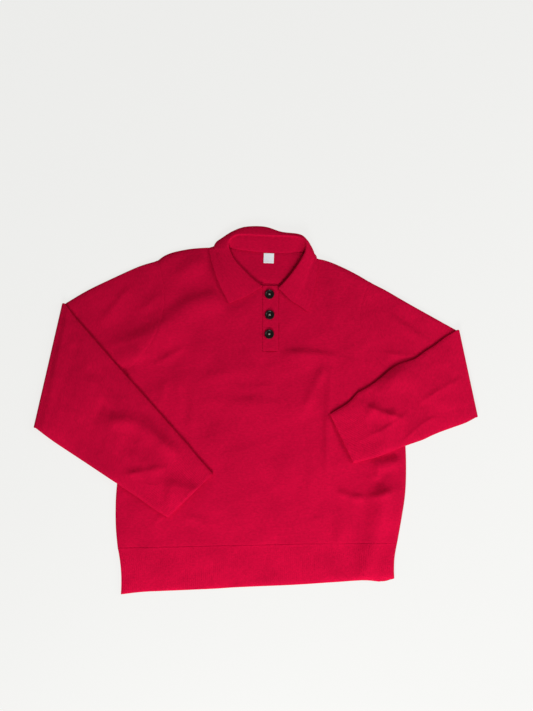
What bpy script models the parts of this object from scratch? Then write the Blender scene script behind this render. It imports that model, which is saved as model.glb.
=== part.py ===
"""Knitted wool polo sweater, laid flat on its back with both sleeves folded over the front.

The garment lies on the plane z = 0 with its neck towards +Y, its hem towards -Y and its front facing
up. Sides are the wearer's own: the right sleeve lies on the -X side. All lengths below are in
millimetres and are turned to metres where a mesh is made. Every layer of cloth is a wall of one
thickness; layers that lie on each other, and pieces that meet at a seam, are a seam gap apart.
"""
import math
from collections import namedtuple

import bmesh
import bpy

MM = 0.001

# Driving sizes of the cloth.
WALL = 1.8
SEAM = 0.3
LAYER = WALL + SEAM
PUFF = LAYER            # how far the front stands off the back away from the edges
RIM = 32.0              # width of the strip along the outline where the front comes down
DRAPE = 30.0            # run over which an unsupported sleeve comes down to the floor

# Heights of the middle of each wall.
BACK_Z = WALL / 2
FRONT_Z = BACK_Z + LAYER
OVER_LOW_Z = FRONT_Z + PUFF + LAYER
OVER_HIGH_Z = OVER_LOW_Z + LAYER

# Grid sizes.
COLUMNS = 24
SIDE_ROWS = 10
ARMHOLE_ROWS = 7
EDGE_STEPS = 4          # steps round the folded edge of a flattened tube
TURN_STEPS = 6          # steps round the elbow fold
RIB_ROWS = 2

# Body sides from the rib seam up to the armpits, one row per level.
SideRow = namedtuple("SideRow", "right_x right_y left_x left_y")
SIDES = [
    SideRow(-256, -262, 262, -253),
    SideRow(-260, -225, 270, -212),
    SideRow(-261, -180, 278, -165),
    SideRow(-258, -120, 281, -105),
    SideRow(-257, -35, 277, -20),
    SideRow(-253, 25, 270, 35),
    SideRow(-248, 66, 263, 78),
]
ARMHOLE_BOW = 40.0

# Top edge: shoulder seams from armhole to neck, then the neckline between the two neck points.
SHOULDER_RIGHT = [(-188, 280), (-176, 289), (-138, 300), (-100, 303), (-62, 303)]
SHOULDER_LEFT = [(101, 293), (117, 284), (130, 281), (161, 269), (189, 255), (216, 239)]
NECK_FRONT = [(-62, 303), (-59, 292), (-49, 273), (-33, 252), (-12, 235), (8, 227), (27, 222),
              (46, 221), (57, 230), (72, 243), (87, 264), (96, 283), (101, 293)]
NECK_BACK = [(-62, 303), (-36, 299), (-16, 296), (17, 294), (48, 293), (76, 293), (101, 293)]

# Rib seam and lower edge of the hem, from the wearer's right to left.
RIB_SEAM = [(-256, -262), (-178, -261), (-104, -259), (-11, -257), (82, -255), (175, -254), (262, -253)]
HEM_EDGE = [(-249, -346), (-214, -342), (-177, -340), (-103, -337), (-11, -332), (82, -328),
            (156, -323), (204, -320), (241, -322), (256, -317)]
RIB_WAIST = 3.0         # how far the rib pulls in between its seam and its lower corners

# Sleeves: one row per section, from the armhole to the elbow fold and on to the cuff seam.
# "top" is the edge that continues the shoulder, "low" the underarm edge, "bow" the section's bend.
SleeveRow = namedtuple("SleeveRow", "top_x top_y low_x low_y bow")
RIGHT_UPPER_ARM = [
    SleeveRow(-188, 280, -248, 66, ARMHOLE_BOW),
    SleeveRow(-222, 270, -282, 46, 24),
    SleeveRow(-264, 251, -322, 21, 10),
    SleeveRow(-321, 223, -372, -11, 3),
    SleeveRow(-364, 197, -413, -40, 0),
]
RIGHT_FOREARM = [
    SleeveRow(-364, 197, -413, -40, 0),
    SleeveRow(-340, 166, -378, -66, 0),
    SleeveRow(-292, 112, -337, -93, 0),
    SleeveRow(-244, 58, -298, -118, 0),
    SleeveRow(-196, 5, -259, -143, 0),
    SleeveRow(-125, -74, -216, -171, 0),
]
RIGHT_CUFF = [
    SleeveRow(-125, -74, -216, -171, 0),
    SleeveRow(-102, -101, -189, -190, 0),
    SleeveRow(-80, -125, -163, -206, 0),
]
LEFT_UPPER_ARM = [
    SleeveRow(216, 239, 263, 78, -ARMHOLE_BOW),
    SleeveRow(247, 223, 293, 58, -24),
    SleeveRow(286, 200, 330, 33, -10),
    SleeveRow(335, 172, 372, 8, -3),
    SleeveRow(381, 146, 413, -20, 0),
]
LEFT_FOREARM = [
    SleeveRow(381, 146, 413, -20, 0),
    SleeveRow(358, 133, 394, -30, 0),
    SleeveRow(322, 110, 352, -45, 0),
    SleeveRow(285, 84, 312, -62, 0),
    SleeveRow(238, 56, 278, -74, 0),
    SleeveRow(192, 27, 237, -90, 0),
]
LEFT_CUFF = [
    SleeveRow(192, 27, 237, -90, 0),
    SleeveRow(166, 6, 210, -98, 0),
    SleeveRow(139, -12, 183, -105, 0),
]

# Folds: a soft ridge (height over 0) or trough (under 0) along a straight run.
Fold = namedtuple("Fold", "x0 y0 x1 y1 width height")
BODY_FOLDS = [
    Fold(-236, 128, -176, 146, 17, 4.5),
    Fold(-176, 146, -106, 184, 17, 4.5),
    Fold(-228, 160, -150, 188, 15, -2.0),
    Fold(-92, 196, -36, 206, 18, 3.0),
    Fold(-220, 92, -200, 112, 16, 3.0),
    Fold(46, 112, 150, 102, 13, -2.1),
    Fold(60, 92, 170, 84, 18, 2.2),
    Fold(112, 70, 108, -120, 16, 3.2),
    Fold(136, 80, 138, -130, 15, -2.1),
    Fold(150, -142, 250, -152, 13, -2.1),
    Fold(150, -172, 262, -176, 18, 3.4),
    Fold(250, -180, 246, -236, 13, 2.6),
    Fold(222, -166, 220, -262, 12, -2.1),
    Fold(198, -178, 196, -300, 13, 2.6),
    Fold(-300, 200, -262, 250, 15, 3.0),
    Fold(-296, 164, -240, 210, 14, -2.0),
    Fold(-90, -60, -60, -200, 34, 2.0),
    Fold(60, -150, 20, -250, 30, 1.8),
]
SLEEVE_FOLDS = [
    Fold(-300, 30, -220, -8, 18, 3.2),
    Fold(-330, 70, -300, 110, 16, 2.4),
    Fold(-240, -66, -170, -86, 18, 2.6),
    Fold(-350, -20, -300, -50, 20, 2.2),
    Fold(-180, -120, -140, -150, 15, 1.8),
    Fold(250, 66, 300, 6, 17, 3.6),
    Fold(330, 60, 392, 40, 13, 2.6),
    Fold(312, 28, 380, -2, 13, 2.4),
    Fold(206, 8, 232, -40, 15, 2.6),
    Fold(170, -30, 190, -70, 15, 1.6),
]
COVER_RUN = 22.0        # run over which body folds flatten towards a piece that lies on them
COVER_MARGIN = 20.0     # strip round such a piece that stays flat too

# Lift of the back and front where the turned-down collar lies under the back of the neck.
LIFT_CENTRE = (17.0, 306.0)
LIFT_HALF = (112.0, 42.0)
LIFT_RUN = 42.0

# Collar sections: neck seam, top of the roll, widest point of the fall, and its free edge.
CollarRow = namedtuple("CollarRow", "seam roll rim edge")
COLLAR = [
    CollarRow((8, 230, 6.5), (11, 234, 9.5), (-10, 222, 8.6), (-51, 198, 7.1)),
    CollarRow((-10, 238, 5.0), (-4, 242, 11.0), (-30, 231, 9.0), (-65, 223, 7.1)),
    CollarRow((-31, 254, 5.0), (-24, 261, 12.0), (-48, 254, 9.6), (-75, 247, 7.1)),
    CollarRow((-47, 274, 5.0), (-41, 280, 13.0), (-62, 277, 10.2), (-83, 272, 7.1)),
    CollarRow((-56, 292, 4.6), (-50, 297, 13.5), (-71, 297, 10.6), (-89, 292, 7.1)),
    CollarRow((-59, 301, 4.4), (-52, 302, 13.5), (-75, 305, 10.2), (-92, 304, 7.3)),
    CollarRow((-60, 306, 4.2), (-53, 306, 13.5), (-77, 311, 8.6), (-92, 311, 4.2)),
    CollarRow((-59, 306, 3.9), (-53, 309, 13.5), (-78, 315, 7.0), (-87, 306, 0.9)),
    CollarRow((-57, 306, 3.6), (-53, 313, 13.5), (-75, 319, 6.0), (-77, 296, 0.9)),
    CollarRow((-50, 305, 3.2), (-49, 321, 13.5), (-63, 325, 6.0), (-62, 288, 0.9)),
    CollarRow((-36, 302, 3.0), (-37, 329, 13.0), (-43, 337, 6.0), (-44, 282, 0.9)),
    CollarRow((-16, 299, 3.0), (-17, 330, 12.5), (-19, 345, 6.0), (-16, 278, 0.9)),
    CollarRow((17, 296, 3.0), (17, 326, 12.0), (17, 345, 6.0), (17, 276, 0.9)),
    CollarRow((48, 295, 3.0), (48, 325, 12.0), (48, 335, 6.0), (48, 277, 0.9)),
    CollarRow((76, 295, 3.0), (79, 324, 13.0), (84, 330, 6.0), (82, 280, 0.9)),
    CollarRow((90, 297, 3.2), (92, 317, 13.5), (99, 319, 6.0), (96, 283, 0.9)),
    CollarRow((97, 297, 3.6), (95, 309, 13.5), (106, 308, 6.0), (105, 288, 0.9)),
    CollarRow((99, 296, 3.9), (95, 304, 13.5), (111, 301, 7.0), (115, 289, 0.9)),
    CollarRow((99, 295, 4.2), (95, 301, 13.5), (113, 297, 8.6), (122, 289, 4.2)),
    CollarRow((98, 291, 4.4), (94, 297, 13.5), (112, 292, 10.2), (123, 284, 7.3)),
    CollarRow((94, 283, 4.6), (90, 288, 13.0), (108, 285, 10.4), (121, 275, 7.1)),
    CollarRow((85, 266, 5.0), (80, 271, 12.0), (98, 265, 9.6), (117, 256, 7.1)),
    CollarRow((70, 246, 5.0), (66, 251, 11.0), (87, 241, 9.0), (112, 228, 7.1)),
    CollarRow((55, 233, 5.0), (52, 236, 10.2), (74, 222, 8.6), (106, 204, 7.1)),
    CollarRow((46, 225, 6.5), (44, 228, 9.5), (64, 213, 8.2), (99, 182, 7.1)),
]
STAND_STEPS = 3
FALL_STEPS = 5          # steps from the roll down to where the fall lies flat
FLAT_STEPS = 2
FOOT = 0.3              # where the fall reaches its lying height, between its widest point and edge

# Placket, buttons and neck label.
PLACKET_RIGHT_X = 12.6
PLACKET_WIDTH = 30.0
PLACKET_BOTTOM_Y = 106.0
OVER_BAND_TOP_Y = 231.0
UNDER_BAND_TOP_Y = 235.0
BUTTON_RADIUS = 9.0
BUTTON_THICK = 3.2
BUTTON_HOLE_RADIUS = 0.9
BUTTON_HOLE_PITCH = 2.1
BUTTONS = {"button_top": (25.7, 211.0), "button_middle": (26.0, 175.0), "button_bottom": (25.3, 138.0)}
BUTTON_STEPS = 20
LABEL_CENTRE = (24.0, 282.0)
LABEL_SIDE = 21.5
LABEL_THICK = 0.6
LABEL_TURN = math.radians(-2.0)

COLLECTION = "wool_sweater"
CUTTERS = "cutters"


# ---------------------------------------------------------------- plane geometry

def mix(a, b, t):
    return a + (b - a) * t


def smooth(t):
    t = min(max(t, 0.0), 1.0)
    return t * t * (3.0 - 2.0 * t)


def along(points, t):
    """Point at fraction t of the length of a polyline."""
    runs = [math.dist(a, b) for a, b in zip(points, points[1:])]
    left = t * sum(runs)
    for a, b, run in zip(points, points[1:], runs):
        if left <= run:
            return tuple(mix(p, q, left / run) for p, q in zip(a, b))
        left -= run
    return tuple(float(p) for p in points[-1])


def segment_distance(x, y, ax, ay, bx, by):
    dx, dy = bx - ax, by - ay
    t = ((x - ax) * dx + (y - ay) * dy) / (dx * dx + dy * dy)
    t = min(max(t, 0.0), 1.0)
    return math.hypot(x - ax - t * dx, y - ay - t * dy)


def depth_in(outline, x, y):
    """Distance from a closed outline, positive inside it."""
    nearest = math.inf
    inside = False
    for (ax, ay), (bx, by) in zip(outline, outline[1:] + outline[:1]):
        nearest = min(nearest, segment_distance(x, y, ax, ay, bx, by))
        if (ay > y) != (by > y) and x < ax + (y - ay) * (bx - ax) / (by - ay):
            inside = not inside
    return nearest if inside else -nearest


def bowed(row, t):
    """Point at fraction t of a sleeve section, from its top edge to its low edge."""
    dx, dy = row.low_x - row.top_x, row.low_y - row.top_y
    length = math.hypot(dx, dy)
    bow = row.bow * 4.0 * t * (1.0 - t)
    return row.top_x + dx * t - dy / length * bow, row.top_y + dy * t + dx / length * bow


# ---------------------------------------------------------------- outlines and relief

def edge_of(rows, side):
    if side == "top":
        return [(row.top_x, row.top_y) for row in rows]
    return [(row.low_x, row.low_y) for row in rows]


def lower_outline():
    """Outline of the body with both upper arms: everything that lies under the forearms."""
    right_side = [(row.right_x, row.right_y) for row in SIDES]
    left_side = [(row.left_x, row.left_y) for row in SIDES]
    outline = list(HEM_EDGE) + left_side
    outline += edge_of(LEFT_UPPER_ARM, "low")[1:]
    outline += edge_of(LEFT_UPPER_ARM, "top")[::-1]
    outline += SHOULDER_LEFT[::-1][1:] + SHOULDER_RIGHT[::-1]
    outline += edge_of(RIGHT_UPPER_ARM, "top")[1:]
    outline += edge_of(RIGHT_UPPER_ARM, "low")[::-1]
    outline += right_side[::-1][1:]
    return outline


def forearm_outline(forearm, cuff):
    rows = forearm + cuff[1:]
    return edge_of(rows, "top") + edge_of(rows, "low")[::-1]


LOWER_OUTLINE = lower_outline()
COVERS = [
    forearm_outline(RIGHT_FOREARM, RIGHT_CUFF),
    forearm_outline(LEFT_FOREARM, LEFT_CUFF),
    [row.edge[:2] for row in COLLAR[:6]] + [row.roll[:2] for row in COLLAR[:6]][::-1],
    [row.edge[:2] for row in COLLAR[-6:]] + [row.roll[:2] for row in COLLAR[-6:]][::-1],
    [(PLACKET_RIGHT_X, PLACKET_BOTTOM_Y), (PLACKET_RIGHT_X + PLACKET_WIDTH, PLACKET_BOTTOM_Y),
     (PLACKET_RIGHT_X + PLACKET_WIDTH, UNDER_BAND_TOP_Y), (PLACKET_RIGHT_X, UNDER_BAND_TOP_Y)],
]


def relief(folds, x, y):
    """Sum of soft ridges and troughs, each a bell shape across its run."""
    total = 0.0
    for fold in folds:
        away = segment_distance(x, y, fold.x0, fold.y0, fold.x1, fold.y1)
        total += fold.height * math.exp(-(away / fold.width) ** 2)
    return total


def lift(x, y):
    """Rise of the cloth over the part of the collar that lies under the back of the neck."""
    out_x = max(abs(x - LIFT_CENTRE[0]) - LIFT_HALF[0], 0.0)
    out_y = max(abs(y - LIFT_CENTRE[1]) - LIFT_HALF[1], 0.0)
    return LAYER * smooth(1.0 - math.hypot(out_x, out_y) / LIFT_RUN)


def front_rise(x, y):
    """Height of the front cloth above its lowest place, with its folds."""
    rim = smooth(depth_in(LOWER_OUTLINE, x, y) / RIM)
    bare = min(smooth((-depth_in(cover, x, y) - COVER_MARGIN) / COVER_RUN) for cover in COVERS)
    risen = rim * (PUFF + bare * relief(BODY_FOLDS, x, y))
    return max(risen, lift(x, y), 0.0)


def over_drop(x, y):
    """How far a folded sleeve comes down where nothing lies under it."""
    outside = -depth_in(LOWER_OUTLINE, x, y) - WALL
    return (OVER_LOW_Z - BACK_Z - SEAM) * smooth(outside / DRAPE)


# ---------------------------------------------------------------- meshes

def new_object(name, mesh, group):
    obj = bpy.data.objects.new(name, mesh)
    group.objects.link(obj)
    return obj


def mesh_from(name, points, faces):
    """Mesh of points in millimetres, with its faces turned outwards."""
    mesh = bpy.data.meshes.new(name)
    mesh.from_pydata([tuple(c * MM for c in p) for p in points], [], faces)
    work = bmesh.new()
    work.from_mesh(mesh)
    bmesh.ops.recalc_face_normals(work, faces=work.faces)
    work.to_mesh(mesh)
    work.free()
    return mesh


def grid_faces(rows, columns, closed=False):
    """Faces between neighbouring rows of points; closed joins each row's last point to its first."""
    faces = []
    spans = columns if closed else columns - 1
    for i in range(rows - 1):
        for j in range(spans):
            k = (j + 1) % columns
            faces.append((i * columns + j, i * columns + k, (i + 1) * columns + k, (i + 1) * columns + j))
    return faces


def cloth_sheet(name, rows, material, group, wall=WALL):
    """Open sheet of cloth through rows of points, given its thickness about them."""
    points = [point for row in rows for point in row]
    mesh = bpy.data.meshes.new(name)
    mesh.from_pydata([tuple(c * MM for c in p) for p in points], [], grid_faces(len(rows), len(rows[0])))
    obj = new_object(name, mesh, group)
    solid = obj.modifiers.new("cloth", "SOLIDIFY")
    solid.thickness = wall * MM
    solid.offset = 0.0
    mesh.materials.append(material)
    return obj


def cloth_tube(name, outer, inner, material, group):
    """Wall of a tube between an outer and an inner set of rings, open at both ends."""
    columns = len(outer[0])
    rows = outer + inner[::-1]
    points = [point for ring in rows for point in ring]
    faces = grid_faces(len(rows), columns, closed=True)
    last = (len(rows) - 1) * columns
    for j in range(columns):
        k = (j + 1) % columns
        faces.append((last + j, last + k, k, j))
    mesh = mesh_from(name, points, faces)
    mesh.materials.append(material)
    return new_object(name, mesh, group)


# ---------------------------------------------------------------- body

def side_point(right, v):
    """Point on the body's side, from the rib seam (0) past the armpit (1) to the shoulder (2)."""
    if v <= 1.0:
        if right:
            return along([(row.right_x, row.right_y) for row in SIDES], v)
        return along([(row.left_x, row.left_y) for row in SIDES], v)
    row = RIGHT_UPPER_ARM[0] if right else LEFT_UPPER_ARM[0]
    x, y = bowed(row, 2.0 - v)
    return (x + SEAM, y) if right else (x - SEAM, y)


def top_point(u, neck):
    """Point on the top edge at fraction u: shoulder, neck edge, shoulder."""
    first, last = 0.3, 0.72
    if u <= first:
        return along(SHOULDER_RIGHT, u / first)
    if u >= last:
        return along(SHOULDER_LEFT, (u - last) / (1.0 - last))
    return along(neck, (u - first) / (last - first))


def patch(bottom, top, right, left, u, v):
    """Point of a four-sided patch, blended from its four edges."""
    corners = [mix(mix(bottom(0)[k], bottom(1)[k], u), mix(top(0)[k], top(1)[k], u), v) for k in (0, 1)]
    across = [mix(bottom(u)[k], top(u)[k], v) for k in (0, 1)]
    upward = [mix(right(v)[k], left(v)[k], u) for k in (0, 1)]
    return tuple(across[k] + upward[k] - corners[k] for k in (0, 1))


def body_rows(neck, height):
    """Rows of points over the body from rib seam to shoulders, with a height for each place."""
    total = SIDE_ROWS + ARMHOLE_ROWS
    levels = [i / SIDE_ROWS for i in range(SIDE_ROWS)]
    levels += [1.0 + i / ARMHOLE_ROWS for i in range(ARMHOLE_ROWS + 1)]
    armpit = 0.6

    def fraction(v):
        return v * armpit if v <= 1.0 else armpit + (v - 1.0) * (1.0 - armpit)

    def level(f):
        return f / armpit if f <= armpit else 1.0 + (f - armpit) / (1.0 - armpit)

    rows = []
    for v in levels:
        row = []
        for j in range(COLUMNS + 1):
            x, y = patch(lambda u: along(RIB_SEAM, u), lambda u: top_point(u, neck),
                         lambda f: side_point(True, level(f)), lambda f: side_point(False, level(f)),
                         j / COLUMNS, fraction(v))
            row.append((x, y, height(x, y)))
        rows.append(row)
    assert len(rows) == total + 1
    return rows


def back_panel(material, group):
    rows = body_rows(NECK_BACK, lambda x, y: BACK_Z + lift(x, y))
    return cloth_sheet("back_panel", rows, material, group)


def front_panel(material, group, cutters):
    rows = body_rows(NECK_FRONT, lambda x, y: FRONT_Z + front_rise(x, y))
    panel = cloth_sheet("front_panel", rows, material, group)
    top = SHOULDER_RIGHT[-1][1]
    slot = box("placket_slot", (PLACKET_RIGHT_X - SEAM, PLACKET_BOTTOM_Y - SEAM, 0.0),
               (PLACKET_RIGHT_X + PLACKET_WIDTH + SEAM, top, OVER_HIGH_Z), cutters)
    slot.hide_render = True
    slot.display_type = "WIRE"
    cut = panel.modifiers.new("slot", "BOOLEAN")
    cut.operation = "DIFFERENCE"
    cut.solver = "EXACT"
    cut.object = slot
    return panel


def box(name, low, high, group):
    mesh = bpy.data.meshes.new(name)
    work = bmesh.new()
    bmesh.ops.create_cube(work, size=1.0)
    for vert in work.verts:
        for k in range(3):
            vert.co[k] = mix(low[k], high[k], vert.co[k] + 0.5) * MM
    work.to_mesh(mesh)
    work.free()
    return new_object(name, mesh, group)


def hem_rib(name, height, material, group):
    """Rib band under the rib seam; its sides pull in and come down to the lower corners."""
    rows = []
    for i in range(RIB_ROWS + 1):
        v = i / RIB_ROWS
        row = []
        for j in range(COLUMNS + 1):
            u = j / COLUMNS
            (bx, by), (tx, ty) = along(HEM_EDGE, u), along(RIB_SEAM, u)
            waist = RIB_WAIST * 4.0 * v * (1.0 - v) * (1.0 - 2.0 * u)
            x, y = mix(bx, tx, v) + waist, mix(by, ty - SEAM, v)
            row.append((x, y, height(x, y)))
        rows.append(row)
    return cloth_sheet(name, rows, material, group)


# ---------------------------------------------------------------- sleeves

def tube_profile(radius):
    """Flattened ring as pairs: fraction along the section, and distances off its middle.

    Each entry is (fraction, along, off): a fraction of the straight run, plus a distance past its
    ends, and the height off the middle plane. It goes along the lower layer, round the low edge,
    back along the upper layer and round the top edge.
    """
    profile = [(k / ARMHOLE_ROWS, 0.0, -radius) for k in range(ARMHOLE_ROWS + 1)]
    for k in range(1, EDGE_STEPS):
        angle = math.pi * k / EDGE_STEPS
        profile.append((1.0, radius * math.sin(angle), -radius * math.cos(angle)))
    profile += [(1.0 - k / ARMHOLE_ROWS, 0.0, radius) for k in range(ARMHOLE_ROWS + 1)]
    for k in range(1, EDGE_STEPS):
        angle = math.pi * k / EDGE_STEPS
        profile.append((0.0, -radius * math.sin(angle), radius * math.cos(angle)))
    return profile


def section_point(row, fraction, beyond):
    """Place in plan of one point of a ring, kept in from the sleeve's edges by the ring's size."""
    dx, dy = row.low_x - row.top_x, row.low_y - row.top_y
    length = math.hypot(dx, dy)
    inset = (LAYER + WALL) / 2.0
    x, y = bowed(row, fraction)
    shift = beyond + mix(inset, -inset, fraction)
    if row.bow and 0.0 < fraction < 1.0:
        shift = 0.0
    return x + dx / length * shift, y + dy / length * shift


def between(rows, t):
    """Sleeve section at fraction t of the way through a table, counted in rows."""
    place = t * (len(rows) - 1)
    i = min(int(place), len(rows) - 2)
    return SleeveRow(*(mix(a, b, place - i) for a, b in zip(rows[i], rows[i + 1])))


def under_ring(row, profile):
    """Ring of an upper arm: flat below, following the front's relief above."""
    ring = []
    for fraction, beyond, off in profile:
        x, y = section_point(row, fraction, beyond)
        share = min(max(off / LAYER + 0.5, 0.0), 1.0)
        ring.append((x, y, (BACK_Z + FRONT_Z) / 2.0 + off + share * front_rise(x, y)))
    return ring


def over_ring(row, profile):
    """Ring of a forearm or cuff: the same tube turned over, lying on what is under it."""
    ring = []
    for fraction, beyond, off in profile:
        x, y = section_point(row, fraction, beyond)
        share = min(max(0.5 - off / LAYER, 0.0), 1.0)
        raised = share * max(relief(SLEEVE_FOLDS, x, y), 0.0)
        ring.append((x, y, (OVER_LOW_Z + OVER_HIGH_Z) / 2.0 - off + raised - over_drop(x, y)))
    return ring


def turn_rings(row, profile):
    """Rings round the elbow fold: the section turns half round about the fold line."""
    low, high = (BACK_Z + FRONT_Z) / 2.0, (OVER_LOW_Z + OVER_HIGH_Z) / 2.0
    centre, radius = (low + high) / 2.0, (high - low) / 2.0
    dx, dy = row.low_x - row.top_x, row.low_y - row.top_y
    length = math.hypot(dx, dy)
    outward = (dy / length, -dx / length)
    if outward[0] * row.top_x < 0.0:
        outward = (-outward[0], -outward[1])
    rings = []
    for k in range(1, TURN_STEPS):
        angle = math.pi * k / TURN_STEPS
        ring = []
        for fraction, beyond, off in profile:
            x, y = section_point(row, fraction, beyond)
            reach = (radius - off) * math.sin(angle)
            rise = centre - (radius - off) * math.cos(angle)
            ring.append((x + outward[0] * reach, y + outward[1] * reach, rise))
        rings.append(ring)
    return rings


def sleeve(name, upper_arm, forearm, material, group):
    """Sleeve as one folded tube, from the armhole seam out to the elbow fold and back to the cuff."""
    walls = []
    for radius in ((LAYER + WALL) / 2.0, (LAYER - WALL) / 2.0):
        profile = tube_profile(radius)
        steps = len(upper_arm) + 1
        rings = [under_ring(between(upper_arm, k / steps), profile) for k in range(steps + 1)]
        rings += turn_rings(upper_arm[-1], profile)
        steps = 2 * (len(forearm) - 1)
        rings += [over_ring(between(forearm, k / steps), profile) for k in range(steps + 1)]
        walls.append(rings)
    return cloth_tube(name, walls[0], walls[1], material, group)


def cuff(name, rows, material, group):
    """Ribbed cuff, a short tube that starts a seam gap past the end of the sleeve."""
    first, second = rows[0], rows[1]
    run = math.dist((first.top_x, first.top_y), (second.top_x, second.top_y))
    start = SleeveRow(*(mix(a, b, SEAM / run) for a, b in zip(first, second)))
    walls = []
    for radius in ((LAYER + WALL) / 2.0, (LAYER - WALL) / 2.0):
        profile = tube_profile(radius)
        walls.append([over_ring(row, profile) for row in [start] + rows[1:]])
    return cloth_tube(name, walls[0], walls[1], material, group)


# ---------------------------------------------------------------- collar, placket, trims

def quadratic(a, b, c, t):
    """Point of the curve that starts at a, passes b half way and ends at c."""
    control = [2.0 * q - (p + r) / 2.0 for p, q, r in zip(a, b, c)]
    return tuple((1 - t) ** 2 * p + 2 * t * (1 - t) * q + t * t * r for p, q, r in zip(a, control, c))


def collar(material, group):
    """One knitted strip: the stand rises from the neck seam to the roll, the fall turns down."""
    rows = []
    for section in COLLAR:
        row = []
        for k in range(STAND_STEPS):
            t = k / STAND_STEPS
            x, y = (mix(section.seam[i], section.roll[i], t) for i in (0, 1))
            rise = math.sin(math.pi / 2.0 * t)
            row.append((x, y, mix(section.seam[2], section.roll[2], rise)))
        foot = tuple(mix(section.rim[i], section.edge[i], FOOT) for i in (0, 1)) + section.edge[2:]
        for k in range(FALL_STEPS):
            row.append(quadratic(section.roll, section.rim, foot, k / FALL_STEPS))
        for k in range(FLAT_STEPS + 1):
            row.append(tuple(mix(a, b, k / FLAT_STEPS) for a, b in zip(foot, section.edge)))
        rows.append(row)
    return cloth_sheet("collar", rows, material, group)


def placket_band(name, height, top_y, material, group):
    x0, x1 = PLACKET_RIGHT_X, PLACKET_RIGHT_X + PLACKET_WIDTH
    rows = [[(x0, y, height), (x1, y, height)] for y in (PLACKET_BOTTOM_Y, top_y)]
    return cloth_sheet(name, rows, material, group)


def button(name, centre, material, group, cutters):
    """Turned button with a raised rim, a dished middle and four sewing holes."""
    rim = 0.3 * BUTTON_RADIUS
    profile = [
        (0.0, 0.0), (BUTTON_RADIUS - 1.4, 0.0), (BUTTON_RADIUS, 1.3), (BUTTON_RADIUS, 2.0),
        (BUTTON_RADIUS - 0.9, BUTTON_THICK), (BUTTON_RADIUS - rim, BUTTON_THICK - 0.2),
        (BUTTON_RADIUS - rim - 1.0, BUTTON_THICK - 1.1), (0.0, BUTTON_THICK - 1.2),
    ]
    mesh = bpy.data.meshes.new(name)
    edges = [(i, i + 1) for i in range(len(profile) - 1)]
    mesh.from_pydata([(r * MM, 0.0, z * MM) for r, z in profile[::-1]], edges, [])
    mesh.materials.append(material)
    obj = new_object(name, mesh, group)
    base = OVER_LOW_Z + WALL / 2.0 + SEAM
    obj.location = (centre[0] * MM, centre[1] * MM, base * MM)
    screw = obj.modifiers.new("turned", "SCREW")
    screw.steps = BUTTON_STEPS
    screw.render_steps = BUTTON_STEPS
    screw.use_merge_vertices = True
    screw.merge_threshold = 0.00001
    screw.use_smooth_shade = True
    for k in range(4):
        angle = math.pi / 4.0 + k * math.pi / 2.0
        spot = (centre[0] + BUTTON_HOLE_PITCH * math.cos(angle),
                centre[1] + BUTTON_HOLE_PITCH * math.sin(angle))
        drill = hole_cutter(f"{name}_hole_{k + 1}", spot, base, cutters)
        cut = obj.modifiers.new(f"hole_{k + 1}", "BOOLEAN")
        cut.operation = "DIFFERENCE"
        cut.solver = "EXACT"
        cut.object = drill
    return obj


def hole_cutter(name, spot, base, cutters):
    mesh = bpy.data.meshes.new(name)
    work = bmesh.new()
    bmesh.ops.create_cone(work, cap_ends=True, segments=8, radius1=BUTTON_HOLE_RADIUS * MM,
                          radius2=BUTTON_HOLE_RADIUS * MM, depth=3.0 * BUTTON_THICK * MM)
    work.to_mesh(mesh)
    work.free()
    obj = new_object(name, mesh, cutters)
    obj.location = (spot[0] * MM, spot[1] * MM, (base + BUTTON_THICK / 2.0) * MM)
    obj.hide_render = True
    obj.display_type = "WIRE"
    return obj


def neck_label(material, group):
    half = LABEL_SIDE / 2.0
    base = BACK_Z + LAYER + WALL / 2.0 + SEAM
    label = box("neck_label", (-half, -half, 0.0), (half, half, LABEL_THICK), group)
    label.location = (LABEL_CENTRE[0] * MM, LABEL_CENTRE[1] * MM, base * MM)
    label.rotation_euler = (0.0, 0.0, LABEL_TURN)
    label.data.materials.append(material)
    return label


# ---------------------------------------------------------------- materials and assembly

def finish(name, colour, roughness):
    material = bpy.data.materials.new(name)
    material.use_nodes = True
    shader = material.node_tree.nodes["Principled BSDF"]
    shader.inputs["Base Color"].default_value = (*colour, 1.0)
    shader.inputs["Roughness"].default_value = roughness
    shader.inputs["Metallic"].default_value = 0.0
    return material


def wool_plain():
    """Plain-knitted crimson wool of the panels and sleeves."""
    return finish("wool_plain", (0.53, 0.006, 0.035), 0.9)


def wool_rib():
    """Rib-knitted crimson wool of the hem, cuffs, collar and placket."""
    return finish("wool_rib", (0.50, 0.006, 0.035), 0.9)


def button_plastic():
    """Dark brown polyester of the buttons."""
    return finish("button_plastic", (0.012, 0.006, 0.006), 0.35)


def label_cloth():
    """White woven tape of the neck label."""
    return finish("label_cloth", (0.8, 0.78, 0.74), 0.8)


def new_collection(name):
    group = bpy.data.collections.new(name)
    bpy.context.scene.collection.children.link(group)
    return group


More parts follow.
